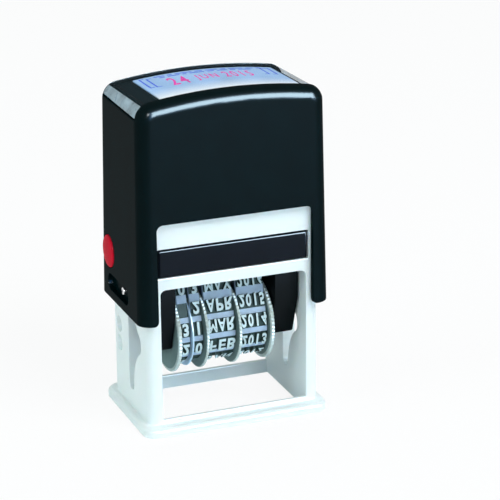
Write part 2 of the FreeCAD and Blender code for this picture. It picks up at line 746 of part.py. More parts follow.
def all_parts():
    """Every piece of the stamp by name."""
    pin = left_pin()
    button = left_button()
    return {
        "base_frame": base_frame(),
        "return_spring": return_spring(),
        "cap_shell": cap_shell(),
        "window_lens": window_lens(),
        "index_card": index_card(),
        "left_pivot_pin": pin,
        "right_pivot_pin": mirrored(pin),
        "left_lock_button": button,
        "right_lock_button": mirrored(button),
        "ink_pad_tray": ink_pad_tray(),
        "front_felt": felt_front(),
        "middle_felt": felt_middle(),
        "rear_felt": felt_rear(),
        "die_holder": die_holder(),
        "die_plate": die_plate(),
        "front_text_die": text_die(-text_die_outer_y, -text_die_inner_y),
        "rear_text_die": text_die(text_die_inner_y, text_die_outer_y),
        "band_platen": band_platen(),
        "wheel_axle": wheel_axle(),
        "day_divider": day_divider(),
        "day_tens_band": date_band(tens_band_x, tens_band_width),
        "day_units_band": date_band(units_band_x, units_band_width),
        "month_band": date_band(month_band_x, month_band_width),
        "year_band": date_band(year_band_x, year_band_width),
        "day_tens_wheel": date_wheel(tens_disc_x, end_disc_thickness, tens_band_x, tens_band_width),
        "day_units_wheel": date_wheel(units_disc_x, inner_disc_thickness, units_band_x, units_band_width),
        "month_wheel": date_wheel(month_disc_x, inner_disc_thickness, month_band_x, month_band_width),
        "year_wheel": date_wheel(year_disc_x, end_disc_thickness, year_band_x, year_band_width),
    }


os.makedirs("parts", exist_ok=True)
for name, shape in all_parts().items():
    if not shape.isValid() or len(shape.Solids) != 1:
        print("check", name, shape.isValid(), len(shape.Solids))
    shape.exportStep("parts/" + name + ".step")
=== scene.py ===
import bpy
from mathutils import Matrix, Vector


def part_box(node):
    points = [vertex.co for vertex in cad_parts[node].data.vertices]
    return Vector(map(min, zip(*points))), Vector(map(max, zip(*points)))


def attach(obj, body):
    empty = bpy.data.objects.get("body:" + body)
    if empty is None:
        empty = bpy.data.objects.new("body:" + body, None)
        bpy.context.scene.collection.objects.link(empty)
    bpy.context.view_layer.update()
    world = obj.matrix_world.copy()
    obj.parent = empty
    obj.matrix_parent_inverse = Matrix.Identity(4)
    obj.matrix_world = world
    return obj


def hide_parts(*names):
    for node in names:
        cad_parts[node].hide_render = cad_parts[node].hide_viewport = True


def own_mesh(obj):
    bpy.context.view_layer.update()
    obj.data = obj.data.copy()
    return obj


bl_info = {
    "name": "Self-inking date stamp",
    "version": (1, 0, 0),
    "blender": (4, 5, 0),
    "location": "3D View > Sidebar > Date stamp",
    "description": "Shapes and finishes of a self-inking date stamp on its CAD frame",
    "category": "Object",
}

import math
from contextlib import contextmanager

import bmesh
import bpy
from bpy.props import FloatProperty, FloatVectorProperty, IntProperty, PointerProperty
from bpy.types import Operator, Panel, PropertyGroup
from mathutils import Matrix, Vector

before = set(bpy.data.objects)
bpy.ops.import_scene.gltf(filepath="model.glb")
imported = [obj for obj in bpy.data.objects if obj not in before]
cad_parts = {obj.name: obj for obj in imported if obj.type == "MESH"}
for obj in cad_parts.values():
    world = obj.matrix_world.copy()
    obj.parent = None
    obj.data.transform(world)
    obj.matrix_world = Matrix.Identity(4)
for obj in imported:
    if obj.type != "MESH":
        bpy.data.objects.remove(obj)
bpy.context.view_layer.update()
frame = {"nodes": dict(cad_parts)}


def mm(value):
    """Millimetres in Blender's metres."""
    return value * 0.001


def span(node, axis):
    """Lowest and highest place of a CAD node along an axis."""
    low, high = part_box(node)
    return low[axis], high[axis]


def spans(node):
    """Lowest and highest places of a CAD node along X, Y and Z."""
    return [span(node, axis) for axis in range(3)]


def middle(node, axis):
    """Middle place of a CAD node along an axis."""
    return sum(span(node, axis)) / 2


def radius_of(node):
    """Radius of a round CAD node that lies along X."""
    low, high = span(node, 1)
    return (high - low) / 2


def between(one, other):
    """Two places, the lower one first."""
    return min(one, other), max(one, other)


def size_setting(name, description, default):
    return FloatProperty(name=name, description=description, default=default, min=0, precision=5,
                         unit='LENGTH', subtype='DISTANCE')


def angle_setting(name, description, default_degrees):
    return FloatProperty(name=name, description=description, default=math.radians(default_degrees),
                         unit='ROTATION', subtype='ANGLE')


def power_setting(name, description, default):
    return FloatProperty(name=name, description=description, default=default, min=0, unit='POWER')


def colour_setting(name, description, default):
    return FloatVectorProperty(name=name, description=description, default=default, size=3,
                               min=0, max=1, subtype='COLOR')


# ---- Sizes and colours that a user would change

class CapSizes(PropertyGroup):
    width: size_setting("Width", "Across the cap at its lower edge", 2 * span("cap_shell", 0)[1])
    depth: size_setting("Depth", "Front to rear of the cap at its lower edge",
                        2 * span("cap_shell", 1)[1])
    lower_z: size_setting("Lower edge", "Height of the cap's lower edge", span("cap_shell", 2)[0])
    crown_top_z: size_setting("Crown height", "Height of the top at the front rim", mm(97.8))
    crown_radius: size_setting("Crown radius", "Radius of the arched top", mm(150))
    crown_front_y: FloatProperty(name="Crown place", description="Where the crown has its height",
                                 default=mm(-14), precision=5, unit='LENGTH', subtype='DISTANCE')
    crown_tilt: angle_setting("Crown tilt", "Fall of the top towards the rear", 2)
    draft: angle_setting("Draft", "Lean of the cap's walls", 0.85)
    shoulder_radius: size_setting("Shoulder radius", "Round between the top and the sides", mm(4.8))
    front_rim_radius: size_setting("Front rim radius", "Round of the front rim", mm(4))
    rear_rim_radius: size_setting("Rear rim radius", "Round of the rear rim", mm(4))
    roof_z: size_setting("Roof height", "Height of the ceiling inside", mm(93.2))
    cutout_width: size_setting("Cut-out width", "Width of the front and rear cut-outs", mm(45.8))
    cutout_top_z: size_setting("Cut-out height", "Height of the cut-outs' upper edge", mm(62))
    pocket_length: size_setting("Card pocket", "Length of the pocket under the card", mm(46.6))
    edge_round: size_setting("Edge round", "Small round on the cap's cut edges", mm(0.25))


class LensSizes(PropertyGroup):
    drop: size_setting("Lens drop", "How far the lens lies below the crown", mm(0.3))
    thickness: size_setting("Lens thickness", "Thickness of the clear cover", mm(1))
    card_thickness: size_setting("Card thickness", "Thickness of the index card", mm(0.3))
    date_height: size_setting("Date height", "Height of the date printed on the card", mm(8))


class DaterSizes(PropertyGroup):
    wheel_radius: size_setting("Wheel radius", "Radius of the thumb wheels",
                               radius_of("year_wheel"))
    wheel_teeth: IntProperty(name="Wheel teeth", description="Serrations round each thumb wheel",
                             default=68, min=12)
    tooth_depth: size_setting("Tooth depth", "Depth of the serrations", mm(0.28))
    drum_radius: size_setting("Band radius", "Outside of the bare band on its wheel", mm(9.3))
    band_thickness: size_setting("Band thickness", "Thickness of the rubber band", mm(1))
    nose_radius: size_setting("Nose radius", "Round where the bands turn at the bar", mm(1.6))
    nose_half_width: size_setting("Nose place", "Nose rounds' centres from the middle", mm(1.9))
    type_height: size_setting("Type relief", "How far the characters stand out", mm(0.9))
    row_pitch: size_setting("Row pitch", "From one row of characters to the next", mm(5.75))
    character_height: size_setting("Character height", "Height of a printed character", mm(3.7))
    row_recess: size_setting("Row recess", "Depth of the field round each row", mm(0.2))


class Finishes(PropertyGroup):
    cap: colour_setting("Cap", "Black plastic of the cap", (0.0003, 0.0052, 0.0062))
    frame: colour_setting("Frame", "White plastic of the frame", (0.84, 0.89, 0.89))
    lens: colour_setting("Lens", "Tint of the clear cover", (0.36, 0.46, 0.56))
    card: colour_setting("Card", "Paper of the index card", (0.39, 0.56, 0.85))
    card_blue: colour_setting("Card blue", "Blue print on the card", (0.09, 0.15, 0.70))
    card_red: colour_setting("Card red", "Red print on the card", (0.86, 0.08, 0.42))
    # Partly frosting, partly painted reflection: pale colour for the light that the lens's
    # turned-down ends reflect and bend.
    frost_and_glare_ends: colour_setting("Lens ends", "Frosted ends of the clear cover", (0.36, 0.48, 0.56))
    button: colour_setting("Button", "Red plastic of the lock buttons", (0.60, 0.002, 0.02))
    tray: colour_setting("Ink pad cartridge", "Black plastic of the cartridge",
                         (0.003, 0.005, 0.009))
    blue_felt: colour_setting("Text felt", "Felt that inks the text", (0.02, 0.03, 0.25))
    red_felt: colour_setting("Date felt", "Felt that inks the date", (0.42, 0.01, 0.04))
    dater: colour_setting("Dater", "Black plastic of the dater", (0.0015, 0.003, 0.0035))
    die: colour_setting("Text rubber", "Rubber of the text dies", (0.33, 0.20, 0.17))
    band: colour_setting("Band rubber", "Rubber of the date bands", (0.42, 0.54, 0.69))
    # Painted light: a lighter copy of the band rubber for the characters' tops, which face the
    # light.
    band_type: colour_setting("Band type", "Worn tops of the characters", (0.56, 0.69, 0.71))
    # Painted shade: a dark copy of the band rubber for the recessed fields round the rows and the
    # sides of the characters.
    band_field: colour_setting("Band field", "Darkened rubber round the characters",
                               (0.040, 0.070, 0.062))
    wheel: colour_setting("Wheels", "Ivory plastic of the thumb wheels", (0.50, 0.57, 0.54))
    # Painted shade: a darker copy of the wheel plastic for the wheels' flat faces.
    wheel_face: colour_setting("Wheel faces", "Shaded plastic of flat faces", (0.17, 0.24, 0.23))
    divider: colour_setting("Divider", "Light blue plastic of the divider", (0.50, 0.68, 0.84))
    steel: colour_setting("Steel", "Turned steel of the pins and axle", (0.72, 0.73, 0.74))
    spring: colour_setting("Spring", "Drawn wire of the spring", (0.55, 0.56, 0.58))


class Studio(PropertyGroup):
    floor: colour_setting("Floor", "Pale floor and backdrop", (0.86, 0.87, 0.88))
    floor_lift: FloatProperty(name="Floor lift", default=0.9, min=0, max=1,
                              description="How far the seen floor is lifted to white")
    world_level: FloatProperty(name="World level", description="Even light from all round",
                               default=0.3, min=0)
    key_power: power_setting("Key light", "Soft box above, in front to the right", 9.0)
    top_power: power_setting("Top light", "Soft box above", 3.0)
    side_power: power_setting("Side light", "Soft box to the left", 6.0)
    glint_power: power_setting("Glint light", "Soft boxes that only show in gloss", 440.0)
    azimuth: angle_setting("Camera azimuth", "Turn of the camera round the stamp", -21.4)
    elevation: angle_setting("Camera elevation", "Height angle of the camera", 19.76)
    roll: angle_setting("Camera roll", "Roll of the camera", -0.53)
    distance: size_setting("Camera distance", "From the aim point to the camera", 0.6593)
    focal_length: FloatProperty(name="Focal length", description="Camera focal length",
                                default=168.18, min=1, unit='CAMERA')


# ---- Selecting and shaping

def clear_selection():
    """Deselect everything, the CAD nodes too."""
    bpy.ops.object.select_all(action='DESELECT')


def only(piece):
    """Make one piece the selected and active one."""
    clear_selection()
    piece.select_set(True)
    bpy.context.view_layer.objects.active = piece


def settle(piece):
    """Put a piece's place, turn and size into its mesh."""
    only(piece)
    bpy.ops.object.transform_apply(location=True, rotation=True, scale=True)


def new_piece(name):
    """Settle what was just added and name it."""
    piece = bpy.context.object
    settle(piece)
    piece.name = name
    piece.data.name = name
    return piece


def discard(piece):
    mesh = piece.data
    bpy.data.objects.remove(piece)
    bpy.data.meshes.remove(mesh)


def add_block(name, x, y, z):
    """A box from its low and high places along each axis."""
    clear_selection()
    bpy.ops.mesh.primitive_cube_add(size=1, location=[sum(s) / 2 for s in (x, y, z)],
                                    scale=[s[1] - s[0] for s in (x, y, z)])
    return new_piece(name)


def add_rod(name, radius, x, y, z, sides=64):
    """A round bar along X."""
    clear_selection()
    bpy.ops.mesh.primitive_cylinder_add(vertices=sides, radius=radius, depth=x[1] - x[0],
                                        location=(sum(x) / 2, y, z), rotation=(0, math.pi / 2, 0))
    return new_piece(name)


@contextmanager
def editing(piece, element):
    """Edit mode on one piece, with nothing selected at first."""
    only(piece)
    bpy.ops.object.mode_set(mode='EDIT')
    bpy.ops.mesh.select_mode(type=element)
    bpy.ops.mesh.select_all(action='DESELECT')
    yield
    bpy.ops.object.mode_set(mode='OBJECT')


def pick(piece, kind, test):
    """Select the verts, edges or faces that pass a test."""
    bpy.ops.mesh.select_mode(type={"verts": 'VERT', "edges": 'EDGE', "faces": 'FACE'}[kind])
    bpy.ops.mesh.select_all(action='DESELECT')
    mesh = bmesh.from_edit_mesh(piece.data)
    chosen = [element for element in getattr(mesh, kind) if test(element)]
    if not chosen:
        raise RuntimeError(f"{piece.name}: no {kind} found to shape")
    for element in chosen:
        element.select_set(True)
    mesh.select_flush_mode()
    bmesh.update_edit_mesh(piece.data)


def pick_all():
    bpy.ops.mesh.select_all(action='SELECT')


def face_outward():
    """Let every face of the piece in edit mode look outward."""
    pick_all()
    bpy.ops.mesh.normals_make_consistent(inside=False)


def both(edge, test):
    """Whether both ends of an edge pass a test on their place."""
    return all(test(vertex.co) for vertex in edge.verts)


def along(edge, axis):
    """Whether an edge runs along an axis."""
    step = edge.verts[1].co - edge.verts[0].co
    return abs(step[axis]) > 0.98 * step.length


def round_edges(width, segments):
    bpy.ops.mesh.bevel(offset=width, offset_type='OFFSET', segments=segments, profile=0.5,
                       affect='EDGES', clamp_overlap=False)


def move(offset):
    bpy.ops.transform.translate(value=offset)


def grow(factors, centre):
    bpy.ops.transform.resize(value=factors, center_override=centre)


def apply(piece, kind, **values):
    """Add a modifier and apply it."""
    only(piece)
    modifier = piece.modifiers.new(kind.title(), kind)
    for key, value in values.items():
        setattr(modifier, key, value)
    bpy.ops.object.modifier_apply(modifier=modifier.name)


def combine(piece, tool, operation):
    """Cut, join or keep what two solids share; the tool goes."""
    apply(piece, 'BOOLEAN', operation=operation, solver='EXACT', object=tool)
    discard(tool)
    if not piece.data.polygons:
        raise RuntimeError(f"{piece.name}: nothing left after a cut")
    return piece


def cut(piece, tool):
    return combine(piece, tool, 'DIFFERENCE')


def join(piece, others):
    """One object from several, without changing their shapes."""
    clear_selection()
    for other in others:
        other.select_set(True)
    piece.select_set(True)
    bpy.context.view_layer.objects.active = piece
    bpy.ops.object.join()
    return piece


def copy_of(piece, name):
    other = bpy.data.objects.new(name, piece.data.copy())
    bpy.context.scene.collection.objects.link(other)
    return other


def tidy(piece, flat_degrees=0.3):
    """Merge doubles and let each flat area be one face."""
    with editing(piece, 'VERT'):
        pick_all()
        bpy.ops.mesh.remove_doubles(threshold=mm(0.002))
        bpy.ops.mesh.dissolve_limited(angle_limit=math.radians(flat_degrees))


def ease(piece, width):
    """Round every sharp edge a little, as a mould does."""
    apply(piece, 'BEVEL', width=width, segments=2, limit_method='ANGLE',
          angle_limit=math.radians(40), use_clamp_overlap=False, miter_outer='MITER_ARC')


def smooth(piece, degrees=35):
    """Smooth shading that keeps flat faces flat."""
    only(piece)
    bpy.ops.object.shade_smooth_by_angle(angle=math.radians(degrees))
    apply(piece, 'WEIGHTED_NORMAL', keep_sharp=True, mode='FACE_AREA', weight=60)


def softened_node(node, name, width):
    """A copy of a CAD node with its sharp edges rounded."""
    piece = copy_of(frame["nodes"][node], name)
    tidy(piece)
    ease(piece, width)
    smooth(piece)
    return piece


def give_materials(piece, materials, number=None):
    """Give a piece its materials; number says which of them a face takes."""
    piece.data.materials.clear()
    for material in materials:
        piece.data.materials.append(material)
    if number:
        for face in piece.data.polygons:
            face.material_index = int(number(face))


def fit(piece, node, body, material=None):
    """Let a finished piece stand for a CAD node and ride on its body."""
    if material:
        give_materials(piece, [material])
    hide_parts(node)
    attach(piece, body)


def dress(node, material):
    """A better material on a CAD node that stays."""
    for place in frame["nodes"][node].material_slots:
        place.material = material


# ---- Materials

matt = {"Specular IOR Level": 0.0}
# White that the card fades to at its front: a painted reflection of glare on the lens.
painted_glare_white = (0.94, 0.95, 0.98, 1)


def add_node(tree, kind, inputs, **settings):
    """A shader node with a value or a link for each of its inputs."""
    node = tree.nodes.new("ShaderNode" + kind)
    for key, value in settings.items():
        setattr(node, key, value)
    for key, value in inputs.items():
        if isinstance(value, bpy.types.NodeSocket):
            tree.links.new(value, node.inputs[key])
        else:
            node.inputs[key].default_value = value
    return node


class Finish:
    """A Principled material whose patterns read Object coordinates."""

    def __init__(self, name, colour, roughness, **values):
        self.material = bpy.data.materials.new(name)
        self.material.use_nodes = True
        self.tree = self.material.node_tree
        self.shader = self.tree.nodes["Principled BSDF"]
        values = {"Base Color": (*colour, 1), "Roughness": roughness, **values}
        for key, value in values.items():
            self.shader.inputs[key].default_value = value
        self.place = add_node(self.tree, "TexCoord", {}).outputs["Object"]

    def link(self, source, name):
        self.tree.links.new(source, self.shader.inputs[name])

    def noise(self, scale, detail=2.0, stretch=(1, 1, 1)):
        mapping = add_node(self.tree, "Mapping", {"Vector": self.place, "Scale": stretch})
        return add_node(self.tree, "TexNoise", {
            "Vector": mapping.outputs["Vector"], "Scale": scale, "Detail": detail}).outputs["Fac"]

    def ramp(self, source, low, high):
        """Map a pattern's middle range to two values."""
        return add_node(self.tree, "MapRange", {
            "Value": source, "From Min": 0.3, "From Max": 0.7, "To Min": low,
            "To Max": high}).outputs["Result"]

    def mix(self, share, first, second):
        return add_node(self.tree, "Mix", {0: share, 6: first, 7: second},
                        data_type='RGBA').outputs[2]

    def vary_roughness(self, scale, low, high):
        self.link(self.ramp(self.noise(scale), low, high), "Roughness")

    def vary_colour(self, scale, first, second, detail=3.0, stretch=(1, 1, 1)):
        pattern = self.ramp(self.noise(scale, detail, stretch), 0, 1)
        self.link(self.mix(pattern, (*first, 1), (*second, 1)), "Base Color")

    def bumped(self, scale, depth, detail=2.0, stretch=(1, 1, 1)):
        """The finished material, with a fine relief on it and on its coat."""
        bump = add_node(self.tree, "Bump", {
            "Strength": 1, "Distance": depth, "Height": self.noise(scale, detail, stretch)})
        for name in ("Normal", "Coat Normal"):
            self.link(bump.outputs["Normal"], name)
        return self.material


def shade(colour, factor):
    return tuple(min(channel * factor, 1.0) for channel in colour)


def moulded(name, colour, gloss, spread, grain=mm(0.004), scale=2600):
    """Moulded plastic: a thin gloss over an even colour with a fine skin."""
    finish = Finish(name, colour, 0.5, **matt, **{"Coat Weight": gloss, "Coat Roughness": spread})
    finish.vary_colour(160, shade(colour, 0.88), shade(colour, 1.12))
    finish.vary_roughness(220, 0.45, 0.6)
    return finish.bumped(scale, grain)


def frame_plastic(colour):
    """White plastic that lets a little light into itself."""
    finish = Finish("white_frame_plastic", colour, 0.5, **matt, **{
        "Coat Weight": 0.3, "Coat Roughness": 0.24, "Subsurface Weight": 0.06,
        "Subsurface Scale": mm(1)})
    finish.vary_colour(60, shade(colour, 0.985), colour)
    finish.vary_roughness(220, 0.45, 0.55)
    return finish.bumped(2600, mm(0.004))


def lens_plastic(colour):
    finish = Finish("clear_lens_plastic", colour, 0.06, **{
        "Alpha": 0.02, "IOR": 1.49, "Specular IOR Level": 0.02})
    finish.vary_roughness(90, 0.05, 0.09)
    return finish.bumped(60, mm(0.02))


def frost_and_glare_plastic(colour):
    finish = Finish("frosted_lens_plastic", colour, 0.3, **{
        "Alpha": 0.65, "IOR": 1.49, "Specular IOR Level": 0.5})
    # Patches darker and lighter than the colour stand for the bright and dim zones of that
    # reflection: painted reflection.
    finish.vary_colour(160, shade(colour, 0.45), shade(colour, 1.35))
    finish.vary_roughness(300, 0.22, 0.38)
    return finish.bumped(900, mm(0.01))


def paper(colour):
    """Tinted paper that fades to white towards its front edge; the white there is a painted
    reflection of glare on the lens.
    """
    finish = Finish("card_paper", colour, 0.75, **matt)
    finish.vary_colour(70, shade(colour, 0.85), shade(colour, 1.15), detail=6, stretch=(1, 0.6, 1))
    tint = finish.shader.inputs["Base Color"].links[0].from_socket
    place = add_node(finish.tree, "SeparateXYZ", {"Vector": finish.place})
    fade = add_node(finish.tree, "MapRange", {
        "Value": place.outputs["Y"], "From Min": mm(-12), "From Max": mm(1)},
        interpolation_type='SMOOTHSTEP')
    finish.link(finish.mix(fade.outputs["Result"], painted_glare_white, tint), "Base Color")
    return finish.bumped(4000, mm(0.006), detail=4)


def print_ink(name, colour):
    finish = Finish(name, colour, 0.55, **matt)
    finish.vary_colour(1500, shade(colour, 0.9), shade(colour, 1.25), detail=4)
    return finish.bumped(4000, mm(0.004))


def steel(name, colour, roughness, stretch):
    finish = Finish(name, colour, roughness, Metallic=1.0)
    finish.vary_roughness(900, roughness * 0.8, roughness * 1.25)
    return finish.bumped(1500, mm(0.003), stretch=stretch)


def felt(name, colour):
    finish = Finish(name, colour, 0.92, **{"Sheen Weight": 0.25, "Sheen Roughness": 0.5})
    finish.vary_colour(700, shade(colour, 0.6), shade(colour, 1.25), detail=6)
    return finish.bumped(2200, mm(0.08), detail=8)


def rubber(name, colour):
    finish = Finish(name, colour, 0.65, **{"Specular IOR Level": 0.02})
    finish.vary_colour(350, shade(colour, 0.9), shade(colour, 1.06), detail=4)
    return finish.bumped(3200, mm(0.008), detail=3)


# ---- The cap, its lens and its card

def crown_drop(x, radius):
    """How far the arched top has fallen at a place along X."""
    return radius - math.sqrt(radius ** 2 - x ** 2)


def crowned_form(name, cap, inset, low_z, rims=False):
    """Tapered block under the crown with rounded shoulders, drawn in by an inset."""
    slope = math.tan(cap.draft)
    rise = cap.crown_top_z - low_z
    half_x = cap.width / 2 - inset - slope * (low_z - cap.lower_z)
    half_y = cap.depth / 2 - slope * (low_z - cap.lower_z)
    top_x, top_y = half_x - slope * rise, half_y - slope * rise
    radius = cap.shoulder_radius - inset
    crown = cap.crown_radius - inset
    middle_z = low_z + rise / 2
    lines, line_x = 19, top_x - radius * 0.96     # along Y in the top, and the outermost one
    near = mm(0.1)
    form = add_block(name, (-half_x, half_x), (-half_y, half_y), (low_z, cap.crown_top_z))
    with editing(form, 'VERT'):
        pick(form, "verts", lambda v: v.co.z > middle_z)
        grow((top_x / half_x, top_y / half_y, 1), (0, 0, cap.crown_top_z))
        pick(form, "edges", lambda e: along(e, 0) and both(e, lambda p: p.z > middle_z))
        bpy.ops.mesh.subdivide(number_cuts=lines, ngon=True)
        pick(form, "verts", lambda v: v.co.z > middle_z and abs(v.co.x) < top_x - near)
        outermost = top_x * (1 - 2 / (lines + 1))
        grow((line_x / outermost, 1, 1), (0, 0, cap.crown_top_z))
        places = [line_x * 2 * step / (lines - 1) for step in range((lines + 1) // 2)] + [top_x]
        for place in places:
            pick(form, "verts", lambda v: v.co.z > middle_z and abs(abs(v.co.x) - place) < mm(0.02))
            move((0, 0, -inset - crown_drop(place, crown)))
        for side in (-1, 1):
            pick(form, "verts", lambda v: v.co.z > middle_z and v.co.y * side > 0)
            move((0, 0, -math.tan(cap.crown_tilt) * (side * top_y - cap.crown_front_y)))
        fall = (crown_drop(top_x, crown) - crown_drop(line_x, crown)) / (top_x - line_x)
        corner = math.pi / 2 + math.atan(fall) + cap.draft
        pick(form, "edges", lambda e: along(e, 1)
             and both(e, lambda p: p.z > middle_z and abs(p.x) > top_x - near))
        round_edges(radius / math.tan(corner / 2), 12)
        if rims:
            for side, rim in ((-1, cap.front_rim_radius), (1, cap.rear_rim_radius)):
                def on_face(p):
                    face_y = half_y - slope * (p.z - low_z)
                    return abs(p.y * side - face_y) < mm(0.12)
                pick(form, "edges", lambda e: both(e, on_face)
                     and not both(e, lambda p: p.z < low_z + near))
                round_edges(rim, 10)
    return form


def crowned_skin(name, cap, outer, inner, y, low_z, x=None):
    """The layer between two drops below the cap's outside, within a zone."""
    base_z = cap.roof_z - 2 * cap.shoulder_radius
    x = x or (-cap.width, cap.width)
    skin = crowned_form(name, cap, outer, base_z)
    combine(skin, add_block("zone", x, y, (low_z, cap.crown_top_z + mm(3))), 'INTERSECT')
    return cut(skin, crowned_form("inside", cap, inner, base_z - mm(1)))


def obround(name, x, y, z):
    """A block along X with its long edges fully rounded."""
    tool = add_block(name, x, y, z)
    with editing(tool, 'EDGE'):
        pick(tool, "edges", lambda e: along(e, 0))
        round_edges((z[1] - z[0]) / 2 - mm(0.001), 10)
    return tool


def seat_zone():
    """Where the lens lies: its front and rear places and its lower edge."""
    return mm(-13.4), mm(14.2), mm(91.6)


def hollow_cap(shell, cap):
    """The cap's inside, up to its arched ceiling, and its front and rear cut-outs."""
    wall_x, wall_y, inner_corner = mm(25.8), mm(15.9), mm(3.1)
    opening_corner, leg_corner = mm(1.8), mm(1.5)
    below = cap.lower_z - mm(1)
    hollow = add_block("hollow", (-wall_x, wall_x), (-wall_y, wall_y), (below, cap.roof_z))
    with editing(hollow, 'EDGE'):
        pick(hollow, "edges", lambda e: along(e, 2))
        round_edges(inner_corner, 6)
    clear_selection()
    ceiling = cap.crown_radius - (cap.crown_top_z - cap.roof_z)
    bpy.ops.mesh.primitive_cylinder_add(vertices=360, radius=ceiling, depth=cap.depth * 2,
                                        location=(0, 0, cap.roof_z - ceiling),
                                        rotation=(math.pi / 2, 0, 0))
    combine(hollow, new_piece("ceiling"), 'INTERSECT')
    cut(shell, hollow)
    half = cap.cutout_width / 2
    opening = add_block("opening", (-half, half), (-cap.depth, cap.depth),
                        (below, cap.cutout_top_z))
    with editing(opening, 'EDGE'):
        pick(opening, "edges", lambda e: along(e, 1) and both(e, lambda p: p.z > cap.lower_z))
        round_edges(opening_corner, 6)
    cut(shell, opening)
    close = mm(0.01)
    with editing(shell, 'EDGE'):
        pick(shell, "edges", lambda e: along(e, 1)
             and both(e, lambda p: abs(abs(p.x) - half) < close and p.z < cap.lower_z + close))
        round_edges(leg_corner, 5)


def cut_top_seats(shell, cap, lens):
    """The seat of the lens and, below it, the pocket of the card."""
    front, rear, low = seat_zone()
    gap, shadow_line = mm(0.02), mm(0.5)
    under_z = cap.roof_z - 2 * cap.shoulder_radius - mm(1)
    depth = lens.drop + lens.thickness
    seat = add_block("seat", (-cap.width, cap.width), (front - gap, rear + gap),
                     (low - shadow_line, cap.crown_top_z + mm(3)))
    cut(seat, crowned_form("under_lens", cap, depth + gap, under_z))
    cut(shell, seat)
    card_y = span("index_card", 1)
    pocket = add_block("pocket", (-cap.pocket_length / 2, cap.pocket_length / 2),
                       (card_y[0] - gap, card_y[1] + gap), (cap.roof_z - mm(2), cap.crown_top_z))
    cut(pocket, crowned_form("under_card", cap, depth + lens.card_thickness + 3 * gap, under_z))
    cut(shell, pocket)


def cut_side_holes(shell, cap):
    """On each side the pin's bore, the button's hole and the recess round the pin."""
    pin_bore, button_hole = mm(1.12), mm(4.8)
    recess_y, recess_half_height, recess_depth = (mm(-6.8), mm(10.8)), mm(2.4), mm(1.5)
    button_y, button_z = (middle("left_lock_button", axis) for axis in (1, 2))
    pin_z = middle("left_pivot_pin", 2)
    for side in (-1, 1):
        reach = between(side * cap.width, side * mm(25))
        cut(shell, add_rod("bore", pin_bore, reach, 0, pin_z, sides=32))
        cut(shell, add_rod("hole", button_hole, reach, button_y, button_z, sides=96))
        floor = between(side * cap.width, side * (cap.width / 2 - recess_depth))
        cut(shell, obround("recess", floor, recess_y,
                           (pin_z - recess_half_height, pin_z + recess_half_height)))


def build_cap(context):
    cap = context.scene.stamp_cap
    colour = context.scene.stamp_finishes.cap
    shell = crowned_form("black_cap", cap, 0, cap.lower_z, rims=True)
    hollow_cap(shell, cap)
    cut_top_seats(shell, cap, context.scene.stamp_lens)
    cut_side_holes(shell, cap)
    tidy(shell)
    ease(shell, cap.edge_round)
    smooth(shell)
    front, rear, low = seat_zone()
    gloss = moulded("black_cap_plastic", colour, 0.075, 0.21, grain=mm(0.0015), scale=3500)
    seat = moulded("matt_lens_seat_plastic", colour, 0, 0.4)
    give_materials(shell, [gloss, seat], lambda face: face.normal.z > 0.2
                   and face.center.z > low - mm(0.4) and front < face.center.y < rear)
    fit(shell, "cap_shell", "cap")


def build_lens(context):
    lens = context.scene.stamp_lens
    colours = context.scene.stamp_finishes
    front, rear, low = seat_zone()
    cover = crowned_skin("clear_lens", context.scene.stamp_cap, lens.drop,
                         lens.drop + lens.thickness, (front, rear), low)
    tidy(cover)
    ease(cover, mm(0.12))
    smooth(cover)
    bend_x = mm(24.9)
    # The lens's turned-down ends and lower edge take the frosted plastic with its painted
    # reflection.
    give_materials(cover, [lens_plastic(colours.lens), frost_and_glare_plastic(colours.frost_and_glare_ends)],
                   lambda face: abs(face.center.x) > bend_x and abs(face.normal.x) > 0.6
                   or face.center.z < low + mm(0.3))
    fit(cover, "window_lens", "cap")


def flat_bar(x, y):
    """A thin printed bar above the card, before it is laid down."""
    clear_selection()
    bpy.ops.mesh.primitive_grid_add(x_subdivisions=6, y_subdivisions=2, size=1,
                                    location=(sum(x) / 2, sum(y) / 2, mm(110)))
    bpy.context.object.scale = (x[1] - x[0], y[1] - y[0], 1)
    return new_piece("bar")


def text_mesh(words, **settings):
    """Characters of size 1 as a mesh, the active object."""
    clear_selection()
    bpy.ops.object.text_add(location=(0, 0, 0))
    text = bpy.context.object.data
    text.body = words
    text.size = 1
    text.resolution_u = 3
    for key, value in settings.items():
        setattr(text, key, value)
    bpy.ops.object.convert(target='MESH')
    return bpy.context.object


def flat_words(words, width, height, x, y):
    """Printed characters above the card, before they are laid down, drawn to a width and height."""
    text = text_mesh(words, space_character=1.3, offset=0.015)
    lows = [min(v.co[axis] for v in text.data.vertices) for axis in (0, 1)]
    highs = [max(v.co[axis] for v in text.data.vertices) for axis in (0, 1)]
    scale = [size / (high - low) for size, low, high in zip((width, height), lows, highs)]
    text.scale = (*scale, 1)
    text.location = (x - scale[0] * (lows[0] + highs[0]) / 2,
                     y - scale[1] * (lows[1] + highs[1]) / 2, mm(110))
    return new_piece("words")


# In millimetres: brackets by their place along X, ends along Y and hook length, and
# dashed lines by their place along Y, start along X and dash lengths.
brackets = ((-16.7, 2.4, 12.9, 1.2), (-14.9, 2.0, 12.0, 1.4), (19.0, 4.2, 12.9, -1.2),
            (21.4, 4.2, 12.4, -1.2))
dashed_lines = ((12.3, -12.6, (3, 1.4, 5, 2.2, 3.6, 1.6, 4.2, 2.4, 3)),
                (10.9, -11.4, (1.6, 3.4, 1.2, 4.4, 2, 3, 1.6, 3.8)))


